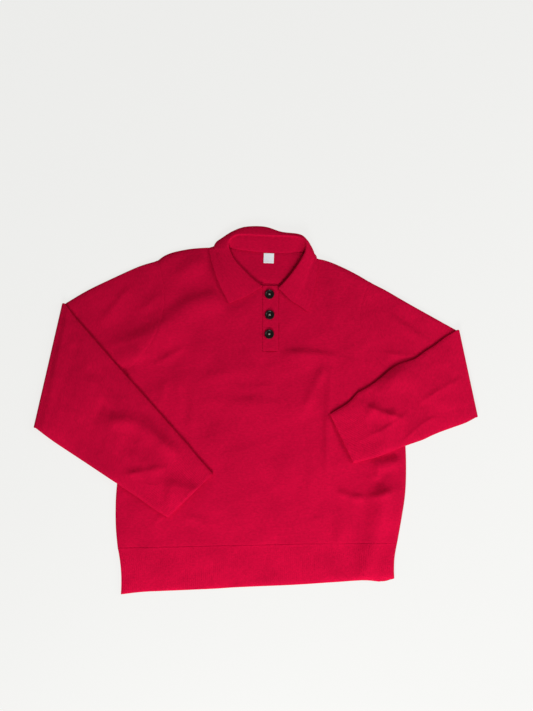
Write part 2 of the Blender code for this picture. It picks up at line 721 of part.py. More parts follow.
def build():
    for obj in list(bpy.data.objects):
        bpy.data.objects.remove(obj, do_unlink=True)
    group = new_collection(COLLECTION)
    cutters = new_collection(CUTTERS)
    plain, rib, plastic, tape = wool_plain(), wool_rib(), button_plastic(), label_cloth()

    back_panel(plain, group)
    front_panel(plain, group, cutters)
    hem_rib("hem_rib_back", lambda x, y: BACK_Z, rib, group)
    hem_rib("hem_rib_front", lambda x, y: FRONT_Z + front_rise(x, y), rib, group)
    sleeve("sleeve_right", RIGHT_UPPER_ARM, RIGHT_FOREARM, plain, group)
    sleeve("sleeve_left", LEFT_UPPER_ARM, LEFT_FOREARM, plain, group)
    cuff("cuff_right", RIGHT_CUFF, rib, group)
    cuff("cuff_left", LEFT_CUFF, rib, group)
    collar(rib, group)
    placket_band("placket_under", FRONT_Z + PUFF, UNDER_BAND_TOP_Y, rib, group)
    placket_band("placket_over", OVER_LOW_Z, OVER_BAND_TOP_Y, rib, group)
    for name, centre in BUTTONS.items():
        button(name, centre, plastic, group, cutters)
    neck_label(tape, group)


build()
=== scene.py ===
"""Looks of a knitted wool polo sweater, laid flat with both sleeves folded over the front.

Every piece is a sheet of knitted cloth worked out on a grid of its own, a few folds listed in the
garment's own millimetres, and dressed with procedural wool, plastic and tape. Sides are the
wearer's own: the right sleeve lies on the -X side.
"""
import logging
import math
from dataclasses import dataclass, field
from enum import Enum
from typing import Callable, Sequence

import bmesh
import bpy
import numpy as np
from mathutils import Euler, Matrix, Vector


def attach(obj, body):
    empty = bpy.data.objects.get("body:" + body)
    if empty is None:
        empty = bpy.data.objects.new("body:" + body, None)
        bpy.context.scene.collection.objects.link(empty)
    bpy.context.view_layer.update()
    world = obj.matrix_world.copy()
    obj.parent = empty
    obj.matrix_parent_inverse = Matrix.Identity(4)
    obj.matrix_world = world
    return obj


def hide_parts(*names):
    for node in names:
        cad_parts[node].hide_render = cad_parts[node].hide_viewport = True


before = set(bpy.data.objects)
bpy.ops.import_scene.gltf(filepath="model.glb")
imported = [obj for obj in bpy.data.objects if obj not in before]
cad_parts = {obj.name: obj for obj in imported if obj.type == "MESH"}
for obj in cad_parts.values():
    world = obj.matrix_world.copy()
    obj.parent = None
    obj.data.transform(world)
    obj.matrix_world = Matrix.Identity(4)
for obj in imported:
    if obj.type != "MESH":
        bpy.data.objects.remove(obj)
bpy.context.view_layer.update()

LOG = logging.getLogger("wool_sweater")
Array = np.ndarray
Table = Sequence[Sequence[float]]

MM = 0.001
FLOOR = "studio_floor"

# Lengths are in millimetres from here on, unless a name or a comment says otherwise.
# Thickness of the cloth, the air between two layers, and the gap of a linked seam: under 0, because
# the two pieces run into each other there.
WALL = 1.8
SEAM = 0.3
LINK = -0.35
# From the middle of one layer to the middle of the next, and how far the front rises from its rim.
LAYER = WALL + SEAM
PUFF = LAYER
# Heights of the middle of each layer: back, front, and the two of a forearm; then the middle of a tube.
BACK_Z = WALL / 2
FRONT_Z = BACK_Z + LAYER
OVER_LOW_Z = FRONT_Z + PUFF + LAYER
OVER_HIGH_Z = OVER_LOW_Z + LAYER
UPPER_ARM_Z = (BACK_Z + FRONT_Z) / 2
FOREARM_Z = (OVER_LOW_Z + OVER_HIGH_Z) / 2
# Runs over which the front rises from its rim, a forearm comes down beside the body, and a forearm on
# the body takes up the body's folds.
RIM = 10.0
DRAPE = 70.0
REST = 45.0

# Outlines, from the wearer's right to left or from the hem upwards.
SIDE_RIGHT = [(-256, -262), (-260, -225), (-261, -180), (-258, -120), (-257, -35), (-253, 25), (-253, 61)]
SIDE_LEFT = [(262, -253), (270, -212), (278, -165), (281, -105), (277, -20), (272, 30), (266, 62)]
SHOULDER_RIGHT = [(-188, 280), (-176, 289), (-138, 301), (-100, 305), (-62, 305)]
SHOULDER_LEFT = [(101, 293), (117, 284), (130, 281), (161, 269), (189, 255), (216, 239)]
NECK_FRONT = [(-62, 305), (-58, 292), (-47, 274), (-31, 254), (-10, 238), (8, 230), (27, 227),
              (46, 226), (57, 234), (72, 248), (87, 268), (96, 284), (101, 293)]
NECK_BACK = [(-62, 305), (-36, 302), (-16, 300), (17, 298), (48, 297), (76, 297), (101, 293)]
RIB_SEAM = [(-256, -262), (-178, -261), (-104, -259), (-11, -257), (82, -255), (175, -254), (262, -253)]
HEM_EDGE = [(-249, -346), (-214, -342), (-177, -340), (-103, -337), (-11, -332), (82, -328),
            (156, -323), (204, -320), (241, -322), (256, -317)]

# Sleeve sections: top edge, low edge and sideways bow, from armhole to fold and from fold to cuff.
ARMHOLE_BOW = 40.0
RIGHT_UPPER_ARM = [(-188, 280, -253, 61, ARMHOLE_BOW), (-222, 270, -282, 46, 24), (-264, 251, -322, 21, 10),
                   (-321, 223, -372, -11, 3), (-364, 197, -413, -40, 0)]
RIGHT_FOREARM = [(-364, 197, -413, -40, 0), (-340, 166, -378, -66, 0), (-292, 112, -337, -93, 0),
                 (-244, 58, -298, -118, 0), (-196, 5, -259, -143, 0), (-125, -74, -216, -171, 0)]
RIGHT_CUFF = [(-125, -74, -216, -171, 0), (-102, -101, -189, -190, 0), (-80, -125, -163, -206, 0)]
LEFT_UPPER_ARM = [(216, 239, 266, 62, -ARMHOLE_BOW), (247, 223, 293, 50, -24), (286, 200, 330, 33, -10),
                  (335, 172, 372, 8, -3), (381, 146, 413, -20, 0)]
LEFT_FOREARM = [(381, 146, 413, -20, 0), (358, 132, 394, -30, 0), (338, 117, 369, -39, 0),
                (318, 104, 347, -47, 0), (303, 93, 330, -54, 0), (288, 87, 315, -61, 0),
                (270, 81, 301, -66, 0), (253, 70, 289, -70, 0), (234, 54, 272, -76, 0),
                (213, 39, 255, -83, 0), (192, 28, 237, -90, 0)]
LEFT_CUFF = [(192, 28, 237, -90, 0), (179, 13, 223, -95, 0), (166, 3, 210, -98, 0),
             (152, -5, 196, -102, 0), (139, -13, 183, -105, 0)]

# Collar sections: neck seam, top of the roll, widest point of the fall, free edge.
COLLAR = [
    ((9, 227, 6.6), (12, 230, 9.0), (-12, 214, 8.4), (-51, 197, 8.0)),
    ((-10, 237, 5.9), (-4, 241, 8.6), (-32, 227, 9.2), (-65, 223, 9.4)),
    ((-31, 254, 5.8), (-24, 261, 8.4), (-48, 254, 9.4), (-75, 247, 10.0)),
    ((-47, 274, 5.8), (-41, 280, 8.8), (-62, 277, 9.6), (-83, 272, 9.4)),
    ((-56, 292, 5.4), (-50, 297, 9.6), (-71, 297, 9.8), (-88, 292, 8.0)),
    ((-59, 301, 5.0), (-52, 302, 10.2), (-75, 304, 9.6), (-90, 301, 7.3)),
    ((-60, 306, 4.6), (-53, 306, 10.6), (-77, 308, 8.2), (-89, 305, 4.2)),
    ((-59, 306, 4.1), (-53, 309, 11.0), (-76, 313, 7.0), (-85, 303, 0.9)),
    ((-57, 306, 3.8), (-53, 313, 11.2), (-73, 318, 6.0), (-77, 296, 0.9)),
    ((-50, 305, 3.8), (-49, 321, 11.2), (-63, 325, 7.0), (-62, 288, 0.9)),
    ((-36, 302, 5.2), (-37, 328, 11.0), (-43, 337, 7.2), (-44, 282, 0.9)),
    ((-16, 299, 5.6), (-17, 329, 10.5), (-19, 345, 7.4), (-16, 278, 0.9)),
    ((17, 296, 5.6), (17, 327, 10.5), (17, 345, 7.4), (17, 276, 0.9)),
    ((48, 295, 5.6), (48, 326, 11.5), (48, 335, 7.2), (48, 277, 0.9)),
    ((76, 295, 4.8), (79, 324, 13.0), (84, 330, 6.6), (82, 280, 0.9)),
    ((90, 297, 3.6), (92, 317, 14.0), (98, 319, 6.0), (96, 283, 0.9)),
    ((97, 297, 3.3), (95, 309, 14.5), (105, 308, 6.0), (105, 288, 0.9)),
    ((99, 296, 3.5), (95, 304, 14.5), (108, 301, 7.0), (111, 289, 0.9)),
    ((99, 295, 4.2), (95, 301, 14.5), (109, 297, 8.4), (114, 290, 4.6)),
    ((98, 291, 4.4), (94, 297, 14.2), (109, 292, 9.7), (116, 285, 8.0)),
    ((94, 283, 4.6), (90, 288, 13.6), (107, 284, 10.0), (118, 275, 8.2)),
    ((85, 266, 5.0), (80, 271, 12.8), (98, 265, 9.8), (116, 255, 8.3)),
    ((70, 246, 5.0), (66, 251, 12.5), (88, 240, 10.0), (112, 228, 8.4)),
    ((55, 232, 5.0), (52, 235, 10.5), (75, 218, 9.6), (106, 204, 8.8)),
    ((45, 223, 6.5), (43, 226, 9.0), (64, 205, 9.2), (99, 181, 8.6)),
]

# Placket: its edges, foot and the top of each band, how far each band is pressed into what lies under
# it, and the height of the middle of each.
PLACKET_RIGHT_X = 12.6
PLACKET_WIDTH = 30.0
PLACKET_LEFT_X = PLACKET_RIGHT_X + PLACKET_WIDTH
PLACKET_BOTTOM_Y = 106.0
OVER_BAND_TOP_Y = 231.0
UNDER_BAND_TOP_Y = 235.0
UNDER_BAND_PRESS = 1.2
OVER_BAND_PRESS = 0.3
UNDER_BAND_Z = FRONT_Z + PUFF - UNDER_BAND_PRESS
OVER_BAND_Z = UNDER_BAND_Z + LAYER - OVER_BAND_PRESS
# Box that cuts the slot beneath the bands: its upper end, past the neck edge, and its lowest and
# highest z.
SLOT_TOP_Y = 303.0
SLOT_Z = (-20.0, 30.0)
BUTTONS = {"button_top": (25.7, 214.5), "button_middle": (26.0, 175.0), "button_bottom": (25.3, 138.0)}


class Form(Enum):
    """Cross-section of a fold."""

    SOFT = "soft"        # a bell-shaped ridge or trough
    CREASE = "crease"    # a narrow crest between hollow flanks


@dataclass(frozen=True)
class Fold:
    """A ridge (height over 0) or trough (under 0) along a line, in millimetres.

    Left and right are the widths of its flanks on either side of its run.
    """

    line: tuple[tuple[float, float], ...]
    height: float
    left: float
    right: float
    form: Form = Form.SOFT


# Folds of the front and of both upper arms.
BODY_FOLDS = [
    # From the right armpit up across the chest, with the slack that it gathers below.
    Fold(((-290, 108), (-250, 119), (-212, 131), (-184, 147), (-160, 166), (-137, 187), (-112, 200),
          (-78, 208), (-31, 213)), 7.2, 18, 27),
    Fold(((-270, 85), (-240, 93), (-205, 105)), 4.2, 16, 13),
    Fold(((-163, 232), (-142, 252), (-117, 274), (-84, 286)), 2.8, 13, 17),
    Fold(((-192, 80), (-164, 96), (-132, 116)), 2.4, 7, 10, Form.CREASE),
    # A small pucker at the right armpit.
    Fold(((-250, 76), (-247, 66), (-243, 58)), -4.0, 4, 3),
    # Right upper arm.
    Fold(((-305, 140), (-290, 165), (-270, 190), (-250, 215), (-230, 240)), 2.4, 7, 18),
    Fold(((-220, 180), (-200, 200), (-185, 220)), 1.6, 9, 10),
    # Low swells across the chest.
    Fold(((-115, 45), (-75, 60), (-30, 70), (15, 75)), 1.8, 9, 17),
    Fold(((-55, 35), (-10, 35), (40, 40)), 1.3, 8, 14),
    Fold(((-115, 0), (-75, 10), (-10, 10), (65, 5)), 1.8, 9, 18),
    # Out from the foot of the placket, and down towards the left cuff.
    Fold(((40, 105), (84, 103), (118, 101), (152, 96)), 4.4, 5, 24, Form.CREASE),
    Fold(((135, 85), (120, 55), (105, 25), (90, -10)), 3.2, 9, 9),
    Fold(((145, 95), (140, 30), (135, -45), (135, -145)), 4.4, 9, 8),
    Fold(((105, -60), (105, -135), (105, -210)), 1.4, 11, 10),
    # Pleats below the left cuff: a long ridge by the side, the hollow beside it, short cross creases.
    Fold(((272, -85), (266, -135), (262, -190), (255, -255), (248, -318), (242, -370)), 7.0, 20, 34),
    Fold(((244, -105), (239, -160), (228, -209), (213, -265), (199, -318), (187, -370)), 8.0, 17, 22),
    Fold(((206, -169), (231, -165), (258, -154)), 4.9, 7, 9, Form.CREASE),
    Fold(((216, -142), (240, -140)), -2.6, 10, 9),
    Fold(((218, -113), (244, -110), (268, -100)), 5.4, 15, 9),
    Fold(((150, -155), (176, -167), (206, -170)), 4.6, 6, 9, Form.CREASE),
    Fold(((160, -185), (160, -230), (150, -275)), 2.4, 8, 11),
    Fold(((140, -190), (140, -255)), -2.0, 7, 8),
    Fold(((220, -92), (226, -116), (226, -140)), 2.8, 6, 6, Form.CREASE),
    Fold(((235, -92), (268, -86)), -4.5, 9, 9),
    # Left upper arm and the chest beside it.
    Fold(((245, 180), (285, 150), (330, 120)), 2.6, 8, 11),
    Fold(((236, 104), (272, 98), (314, 98)), 1.8, 5, 7, Form.CREASE),
    Fold(((155, 250), (150, 205), (150, 145)), 1.8, 14, 14),
    # Beside and below the right cuff.
    Fold(((-192, -224), (-182, -210), (-172, -198)), 2.0, 3, 3, Form.CREASE),
    Fold(((-140, -200), (-110, -210), (-80, -220)), 1.8, 7, 10),
    Fold(((-175, 60), (-175, 30), (-185, -5)), 1.8, 7, 6),
    Fold(((-150, 65), (-145, 25), (-145, -25)), 1.3, 7, 6),
    Fold(((-120, 50), (-120, -5), (-125, -60)), 1.3, 7, 6),
]
# Folds of the two forearms.
SLEEVE_FOLDS = [
    # Right forearm: a long ridge down to the cuff, a crease across, fullness above the rib.
    Fold(((-292, -36), (-268, -28), (-244, -27), (-217, -33), (-194, -48), (-169, -69), (-143, -98)),
         5.7, 15, 14),
    Fold(((-228, -34), (-198, -50), (-171, -72), (-138, -106)), 4.3, 12, 18),
    Fold(((-252, -62), (-222, -72)), -2.4, 16, 16),
    Fold(((-246, -127), (-216, -122), (-194, -118), (-172, -113)), 5.2, 7, 14, Form.CREASE),
    Fold(((-176, -146), (-154, -149), (-132, -155), (-110, -161), (-90, -165)), 4.8, 12, 42),
    Fold(((-325, -100), (-290, -120), (-255, -145)), 2.0, 12, 10),
    Fold(((-335, 145), (-325, 105), (-310, 65)), 2.0, 14, 14),
    Fold(((-325, 65), (-295, 30), (-260, 5)), 2.4, 13, 16),
    # Left forearm: a swell by its upper edge, creases that fan out towards the elbow.
    Fold(((206, 4), (222, -5), (238, -12), (256, -17), (274, -21)), 7.8, 8, 12, Form.CREASE),
    Fold(((238, 14), (246, 38), (264, 58), (296, 80)), 6.4, 16, 24),
    Fold(((300, 2), (340, 28), (380, 50), (410, 64)), 2.2, 5, 8, Form.CREASE),
    Fold(((272, -70), (294, -48), (316, -30), (342, -16)), 2.6, 6, 8, Form.CREASE),
    Fold(((332, -16), (362, -10), (398, 4)), -2.4, 8, 8, Form.CREASE),
    Fold(((203, -58), (218, -52), (236, -44), (254, -33), (274, -19), (290, -7)), 2.4, 4, 14, Form.CREASE),
    Fold(((205, 15), (210, -10), (215, -45)), 0.7, 9, 9),
]
# A fold's ends: their share of its height, and the share of its length over which it rises from them.
FOLD_ENDS = 0.2
FOLD_EASE = 0.3
# How uneven a fold is along its run: by what share, the wave's turn from end to end, and its shift from
# one fold to the next, both in radians.
FOLD_UNEVEN = (0.18, 9.0, 1.7)
# A crease: how round its crest is, and how fast its flanks fall, both against its width.
CREST = 0.35
CREST_FALL = 1.6
# Waves of loosely laid cloth: height, mean length and seed of each.
FRONT_WAVES = ((0.5, 95.0, 3), (0.3, 42.0, 4), (0.1, 17.0, 5))
FOREARM_WAVES = ((0.4, 70.0, 11), (0.22, 34.0, 12), (0.07, 15.0, 13))
BAND_WAVES = ((0.1, 24.0, 31),)
# Forearm's upper layer over its lower one: their distance, the lip along each edge, the dome between
# the edges, and the share of the folds that lifts both layers. A higher power is squarer across.
PLUMP = 0.9
LIP = 1.2
LIP_POWER = 22
CROWN = 1.1
DOME_POWER = 4
LOFT = 0.45
# The collar's leaves and the placket hold the front flat: this far past their edges, and the run over
# which its folds come back. How many of the collar's sections are in a leaf.
COVER_MARGIN = 3.0
COVER_RUN = 18.0
LEAF_SECTIONS = 6
# How far the front may sink below the place where its rim lies.
FRONT_SINK = 0.2
# Rise over the collar where it is turned under: the middle and half size of its top, and the run down.
LIFT_CENTRE = (17.0, 306.0)
LIFT_HALF = (112.0, 42.0)
LIFT_RUN = 42.0
# Swell of the back cloth inside the neck, right and left: how high it is and over what run it rises;
# how far in it starts; where in x the change from right to left starts, and over what run.
NECK_SWELL = (3.4, 4.4)
NECK_SWELL_RUN = (4.5, 10.0)
NECK_SWELL_START = 2.0
NECK_SWELL_CHANGE = (-20.0, 70.0)
# Where the neck's outline closes, beyond the back neck.
NECK_CLOSE_Y = 330.0
# Groove of a linked seam: depth and half width.
SEAM_DIP = 0.4
SEAM_DIP_WIDTH = 2.1


# ---------------------------------------------------------------- numbers on grids

def smooth(t: Array) -> Array:
    """Ease from 0 to 1 with the curve 3t^2 - 2t^3, held outside that range.

    Args:
        t: Places, 0 at the start of the ease and 1 at its end.

    Returns:
        Eased values between 0 and 1.
    """
    t = np.clip(t, 0.0, 1.0)
    return t * t * (3.0 - 2.0 * t)


def run_length(points: Array, axis: int = 0) -> Array:
    """Distance along rows or columns of points: the lengths of the steps so far, from 0.

    Args:
        points: Points, with their coordinates in the last axis.
        axis: The axis along which the distance runs.

    Returns:
        One distance for each point.
    """
    steps = np.linalg.norm(np.diff(points, axis=axis), axis=-1)
    start = np.zeros_like(np.take(steps, [0], axis=axis))
    return np.concatenate([start, np.cumsum(steps, axis=axis)], axis=axis)


def through(points: Table, t: Array, by_length: bool = True) -> Array:
    """Sample a smooth curve through points: cubic pieces with central-difference tangents.

    Args:
        points: Rows of numbers that the curve passes through.
        t: Places along the curve, 0 to 1.
        by_length: Whether t counts along the chords' length, or else in rows.

    Returns:
        One row of numbers for each entry of t.
    """
    rows = np.asarray(points, float)
    if by_length:
        knots = run_length(rows[:, :2])
        knots /= knots[-1]
    else:
        knots = np.linspace(0.0, 1.0, len(rows))
    slopes = np.gradient(rows, knots, axis=0)
    t = np.asarray(t, float)
    i = np.clip(np.searchsorted(knots, t, side="right") - 1, 0, len(knots) - 2)
    run = (knots[i + 1] - knots[i])[..., None]
    s = (t - knots[i])[..., None] / run
    keep, lead = 2 * s**3 - 3 * s**2 + 1, s**3 - 2 * s**2 + s
    return (keep * rows[i] + lead * run * slopes[i] + (1 - keep) * rows[i + 1]
            + (s**3 - s**2) * run * slopes[i + 1])


def near_polyline(xy: Array, line: Array) -> tuple[Array, Array, Array]:
    """Find the nearest place of an open polyline to each point.

    Args:
        xy: Points, with x and y in the last axis.
        line: The polyline's points, one a row.

    Returns:
        Distance to it, its side (positive on the right of its run), and the fraction of its length.
    """
    a, b = line[:-1], line[1:]
    run = b - a
    rel = xy[..., None, :] - a
    t = np.clip((rel * run).sum(-1) / (run * run).sum(-1), 0.0, 1.0)
    off = rel - t[..., None] * run
    dist = np.hypot(off[..., 0], off[..., 1])
    best = dist.argmin(-1)[..., None]
    cross = run[:, 1] * off[..., 0] - run[:, 0] * off[..., 1]
    side = np.take_along_axis(cross, best, -1)[..., 0]
    lengths = np.hypot(run[:, 0], run[:, 1])
    starts = np.concatenate([[0.0], np.cumsum(lengths)[:-1]])
    place = np.take_along_axis(starts + t * lengths, best, -1)[..., 0] / lengths.sum()
    return np.take_along_axis(dist, best, -1)[..., 0], np.sign(side), place


def depth_in(xy: Array, outline: Array) -> Array:
    """Distance from a closed outline, positive inside it (even-odd rule), negative outside.

    Args:
        xy: Points, with x and y in the last axis.
        outline: The outline's corners, one a row, not repeated at the end.

    Returns:
        Signed distances.
    """
    ring = np.vstack([outline, outline[:1]])
    dist = near_polyline(xy, ring)[0]
    a, b = ring[:-1], ring[1:]
    y = xy[..., 1:2]
    rises = (a[:, 1] > y) != (b[:, 1] > y)
    height = np.where(np.abs(b[:, 1] - a[:, 1]) < 1e-9, 1e-9, b[:, 1] - a[:, 1])
    cuts = xy[..., 0:1] < a[:, 0] + (y - a[:, 1]) * (b[:, 0] - a[:, 0]) / height
    inside = (rises & cuts).sum(-1) % 2 == 1
    return np.where(inside, dist, -dist)


def fold_height(folds: Sequence[Fold], xy: Array) -> Array:
    """Sum of folds: each a cross-section times an ease at both ends of its run.

    Args:
        folds: The folds.
        xy: Points, with x and y in the last axis.

    Returns:
        Height in millimetres at each point.
    """
    total = np.zeros(xy.shape[:-1])
    share, turn, shift = FOLD_UNEVEN
    for index, fold in enumerate(folds):
        line = through(fold.line, np.linspace(0, 1, 5 * len(fold.line)))
        dist, side, place = near_polyline(xy, line)
        x = dist / np.where(side > 0, fold.right, fold.left)
        ease = smooth(place / FOLD_EASE) * smooth((1.0 - place) / FOLD_EASE)
        ends = FOLD_ENDS + (1.0 - FOLD_ENDS) * ease
        uneven = 1.0 + share * np.sin(turn * place + shift * index)
        if fold.form is Form.SOFT:
            shape = np.exp(-x**2)
        else:
            shape = np.exp(CREST - np.sqrt(CREST**2 + CREST_FALL * x**2))
        total += fold.height * ends * uneven * shape
    return total


def ripple(xy: Array, wavelength: float, seed: int, count: int = 9) -> Array:
    """Uneven rise and fall: a sum of sine waves in seeded directions, of unit spread.

    Args:
        xy: Points, with x and y in the last axis.
        wavelength: Length of a middling wave; each has 0.6 to 1.6 times that.
        seed: Seed of the waves' directions, lengths and phases.
        count: How many waves are summed.

    Returns:
        Values mostly between -2 and 2.
    """
    rng = np.random.default_rng(seed)
    turn = rng.uniform(0.0, 2.0 * math.pi, count)
    length = wavelength * rng.uniform(0.6, 1.6, count)
    phase = rng.uniform(0.0, 2.0 * math.pi, count)
    pitch = 2.0 * math.pi / length
    along = xy[..., :1] * (np.cos(turn) * pitch) + xy[..., 1:2] * (np.sin(turn) * pitch)
    return np.sin(along + phase).sum(-1) * math.sqrt(2.0 / count)


def ripples(xy: Array, waves: Table) -> Array:
    """Sum of ripples, each given by its height, its length and its seed."""
    return sum(height * ripple(xy, length, seed) for height, length, seed in waves)


def ended(count: int, fine: int = 4, share: float = 0.02) -> Array:
    """Fractions from 0 to 1, even in the middle and closer near both ends.

    Args:
        count: Steps in the middle.
        fine: Extra steps at each end.
        share: Share of the whole that the extra steps take at each end.

    Returns:
        Rising fractions.
    """
    edge = share * np.linspace(0.0, 1.0, fine + 1)[:-1]
    return np.concatenate([edge, np.linspace(share, 1.0 - share, count + 1), 1.0 - edge[::-1]])


def joined(*parts: Array) -> Array:
    """Join runs of fractions, dropping the place that each shares with the one before."""
    return np.concatenate([parts[0]] + [part[1:] for part in parts[1:]])


# ---------------------------------------------------------------- relief shared by the pieces

def armhole(rows: Table, t: Array) -> Array:
    """Armhole seam at fractions t from the shoulder down to the armpit: a chord with a round bow."""
    return section_line(np.asarray(rows[0], float)[None, :], t)[0]


def section_line(rows: Array, fraction: Array) -> Array:
    """Plan of sleeve sections: straight from top to low edge, with a parabola of its bow added.

    Args:
        rows: Sleeve rows, one a section.
        fraction: Places across, 0 at the top edge and 1 at the low edge.

    Returns:
        Array of sections by places by x and y.
    """
    top, low, bow = rows[:, None, 0:2], rows[:, None, 2:4], rows[:, None, 4:5]
    run = low - top
    unit = run / np.linalg.norm(run, axis=-1, keepdims=True)
    normal = np.stack([-unit[..., 1], unit[..., 0]], -1)
    f = np.asarray(fraction)[None, :, None]
    return top + run * f + normal * bow * 4.0 * f * (1.0 - f)


def edge_of(rows: Table, low: bool, count: int = 14) -> Array:
    """Smooth plan line along the top or low edge of a sleeve's table."""
    table = np.asarray(rows, float)
    return through(table[:, 2:4] if low else table[:, 0:2], np.linspace(0, 1, count))


def lower_outline() -> Array:
    """Outline of the body with both upper arms, everything that lies under the forearms.

    Returns:
        The outline's corners, one a row, from the right end of the hem.
    """
    t = np.linspace(0, 1, 18)
    parts = [through(HEM_EDGE, t), through(SIDE_LEFT, t), edge_of(LEFT_UPPER_ARM, True)[1:],
             edge_of(LEFT_UPPER_ARM, False)[::-1], through(SHOULDER_LEFT, t)[::-1][1:],
             through(SHOULDER_RIGHT, t)[::-1], edge_of(RIGHT_UPPER_ARM, False)[1:],
             edge_of(RIGHT_UPPER_ARM, True)[::-1], through(SIDE_RIGHT, t)[::-1][1:]]
    return np.vstack(parts)


def leaf_outline(rows: Sequence) -> Array:
    """Outline of a collar leaf, from its roll to its free edge."""
    edge, roll = [row[3][:2] for row in rows], [row[1][:2] for row in rows]
    return np.array(edge + roll[::-1], float)


LOWER_OUTLINE = lower_outline()
COVERS = [
    leaf_outline(COLLAR[:LEAF_SECTIONS]),
    leaf_outline(COLLAR[-LEAF_SECTIONS:]),
    np.array([(PLACKET_RIGHT_X, PLACKET_BOTTOM_Y), (PLACKET_LEFT_X, PLACKET_BOTTOM_Y),
              (PLACKET_LEFT_X, UNDER_BAND_TOP_Y), (PLACKET_RIGHT_X, UNDER_BAND_TOP_Y)]),
]
SEAM_STEPS = np.linspace(0, 1, 24)
SEAM_LINES = [armhole(RIGHT_UPPER_ARM, SEAM_STEPS), armhole(LEFT_UPPER_ARM, SEAM_STEPS),
              through(RIB_SEAM, SEAM_STEPS)]
NECK_OUTLINE = np.vstack([through(NECK_FRONT, np.linspace(0, 1, 40)),
                          [(NECK_FRONT[-1][0], NECK_CLOSE_Y), (NECK_FRONT[0][0], NECK_CLOSE_Y)]])


def lift(xy: Array) -> Array:
    """Rise of the cloth over the part of the collar that lies under the back of the neck.

    It is one layer high on a plain box, and eases down with the distance from it.

    Args:
        xy: Points, with x and y in the last axis.

    Returns:
        Heights in millimetres.
    """
    out_x = np.maximum(np.abs(xy[..., 0] - LIFT_CENTRE[0]) - LIFT_HALF[0], 0.0)
    out_y = np.maximum(np.abs(xy[..., 1] - LIFT_CENTRE[1]) - LIFT_HALF[1], 0.0)
    return LAYER * smooth(1.0 - np.hypot(out_x, out_y) / LIFT_RUN)


def back_height(xy: Array) -> Array:
    """Height of the back cloth: risen over the turned-under collar, and with a swell inside the neck.

    Args:
        xy: Points, with x and y in the last axis.

    Returns:
        Heights in millimetres.
    """
    inside = depth_in(xy, NECK_OUTLINE)
    leftwards = smooth((xy[..., 0] - NECK_SWELL_CHANGE[0]) / NECK_SWELL_CHANGE[1])
    run = NECK_SWELL_RUN[0] + (NECK_SWELL_RUN[1] - NECK_SWELL_RUN[0]) * leftwards
    swell = NECK_SWELL[0] + (NECK_SWELL[1] - NECK_SWELL[0]) * leftwards
    swell = swell * smooth((inside - NECK_SWELL_START) / run)
    return BACK_Z + np.maximum(lift(xy), swell)


def seam_dip(xy: Array) -> Array:
    """Groove where two knitted pieces are linked: a bell-shaped dip along the seam lines.

    Args:
        xy: Points, with x and y in the last axis.

    Returns:
        Heights in millimetres, 0 or less.
    """
    total = np.zeros(xy.shape[:-1])
    for line in SEAM_LINES:
        total -= SEAM_DIP * np.exp(-((near_polyline(xy, line)[0] / SEAM_DIP_WIDTH) ** 2))
    return total


def body_relief(xy: Array) -> Array:
    """Folds and uneven ripples of the front cloth, which the forearms over it follow too."""
    return fold_height(BODY_FOLDS, xy) + ripples(xy, FRONT_WAVES)


def front_rise(xy: Array) -> Array:
    """Height of the front cloth above its lowest place: a domed rim, folds, ripples and seams.

    Args:
        xy: Points, with x and y in the last axis.

    Returns:
        Heights in millimetres.
    """
    depth = np.clip(depth_in(xy, LOWER_OUTLINE) / RIM, 0.0, 1.0)
    rim = np.sqrt(np.clip(1.0 - (1.0 - depth) ** 2, 0.0, 1.0))
    bare = np.ones(xy.shape[:-1])
    for cover in COVERS:
        bare = np.minimum(bare, smooth((-depth_in(xy, cover) - COVER_MARGIN) / COVER_RUN))
    risen = rim * (PUFF + bare * body_relief(xy)) + bare * seam_dip(xy)
    return np.maximum(np.maximum(risen, lift(xy)), -FRONT_SINK)


def front_height(xy: Array) -> Array:
    """Height of the front cloth."""
    return FRONT_Z + front_rise(xy)


def lying_on(xy: Array, folds: Array) -> Array:
    """Rise of a whole folded sleeve: it follows what it lies on, and its own folds lift it in part.

    Args:
        xy: Points, with x and y in the last axis.
        folds: Height of the sleeve's own folds there.

    Returns:
        Heights in millimetres.
    """
    on_body = smooth(depth_in(xy, LOWER_OUTLINE) / REST)
    return on_body * np.maximum(body_relief(xy), 0) + LOFT * np.maximum(folds, 0)


def forearm_rise(xy: Array, fraction: Array, folds: Array) -> Array:
    """Rise of a forearm's or cuff's upper layer over its lower one.

    A rounded lip along each edge, plus a low dome that carries the folds and ripples.

    Args:
        xy: Points, with x and y in the last axis.
        fraction: Places across the sleeve, 0 at its top edge and 1 at its low edge.
        folds: Height of the sleeve's own folds there.

    Returns:
        Heights in millimetres.
    """
    off_middle = np.abs(2.0 * fraction - 1.0)
    dome = 1.0 - off_middle**DOME_POWER
    lip = LIP * (1.0 - off_middle**LIP_POWER)
    swell = CROWN + (1.0 - LOFT) * folds + ripples(xy, FOREARM_WAVES)
    return PLUMP + lip + dome * np.maximum(swell, 0.0)


def over_drop(xy: Array) -> Array:
    """How far a folded sleeve comes down where nothing lies under it."""
    outside = -depth_in(xy, LOWER_OUTLINE) - WALL
    return (OVER_LOW_Z - BACK_Z - SEAM) * smooth(outside / DRAPE)


# ---------------------------------------------------------------- meshes

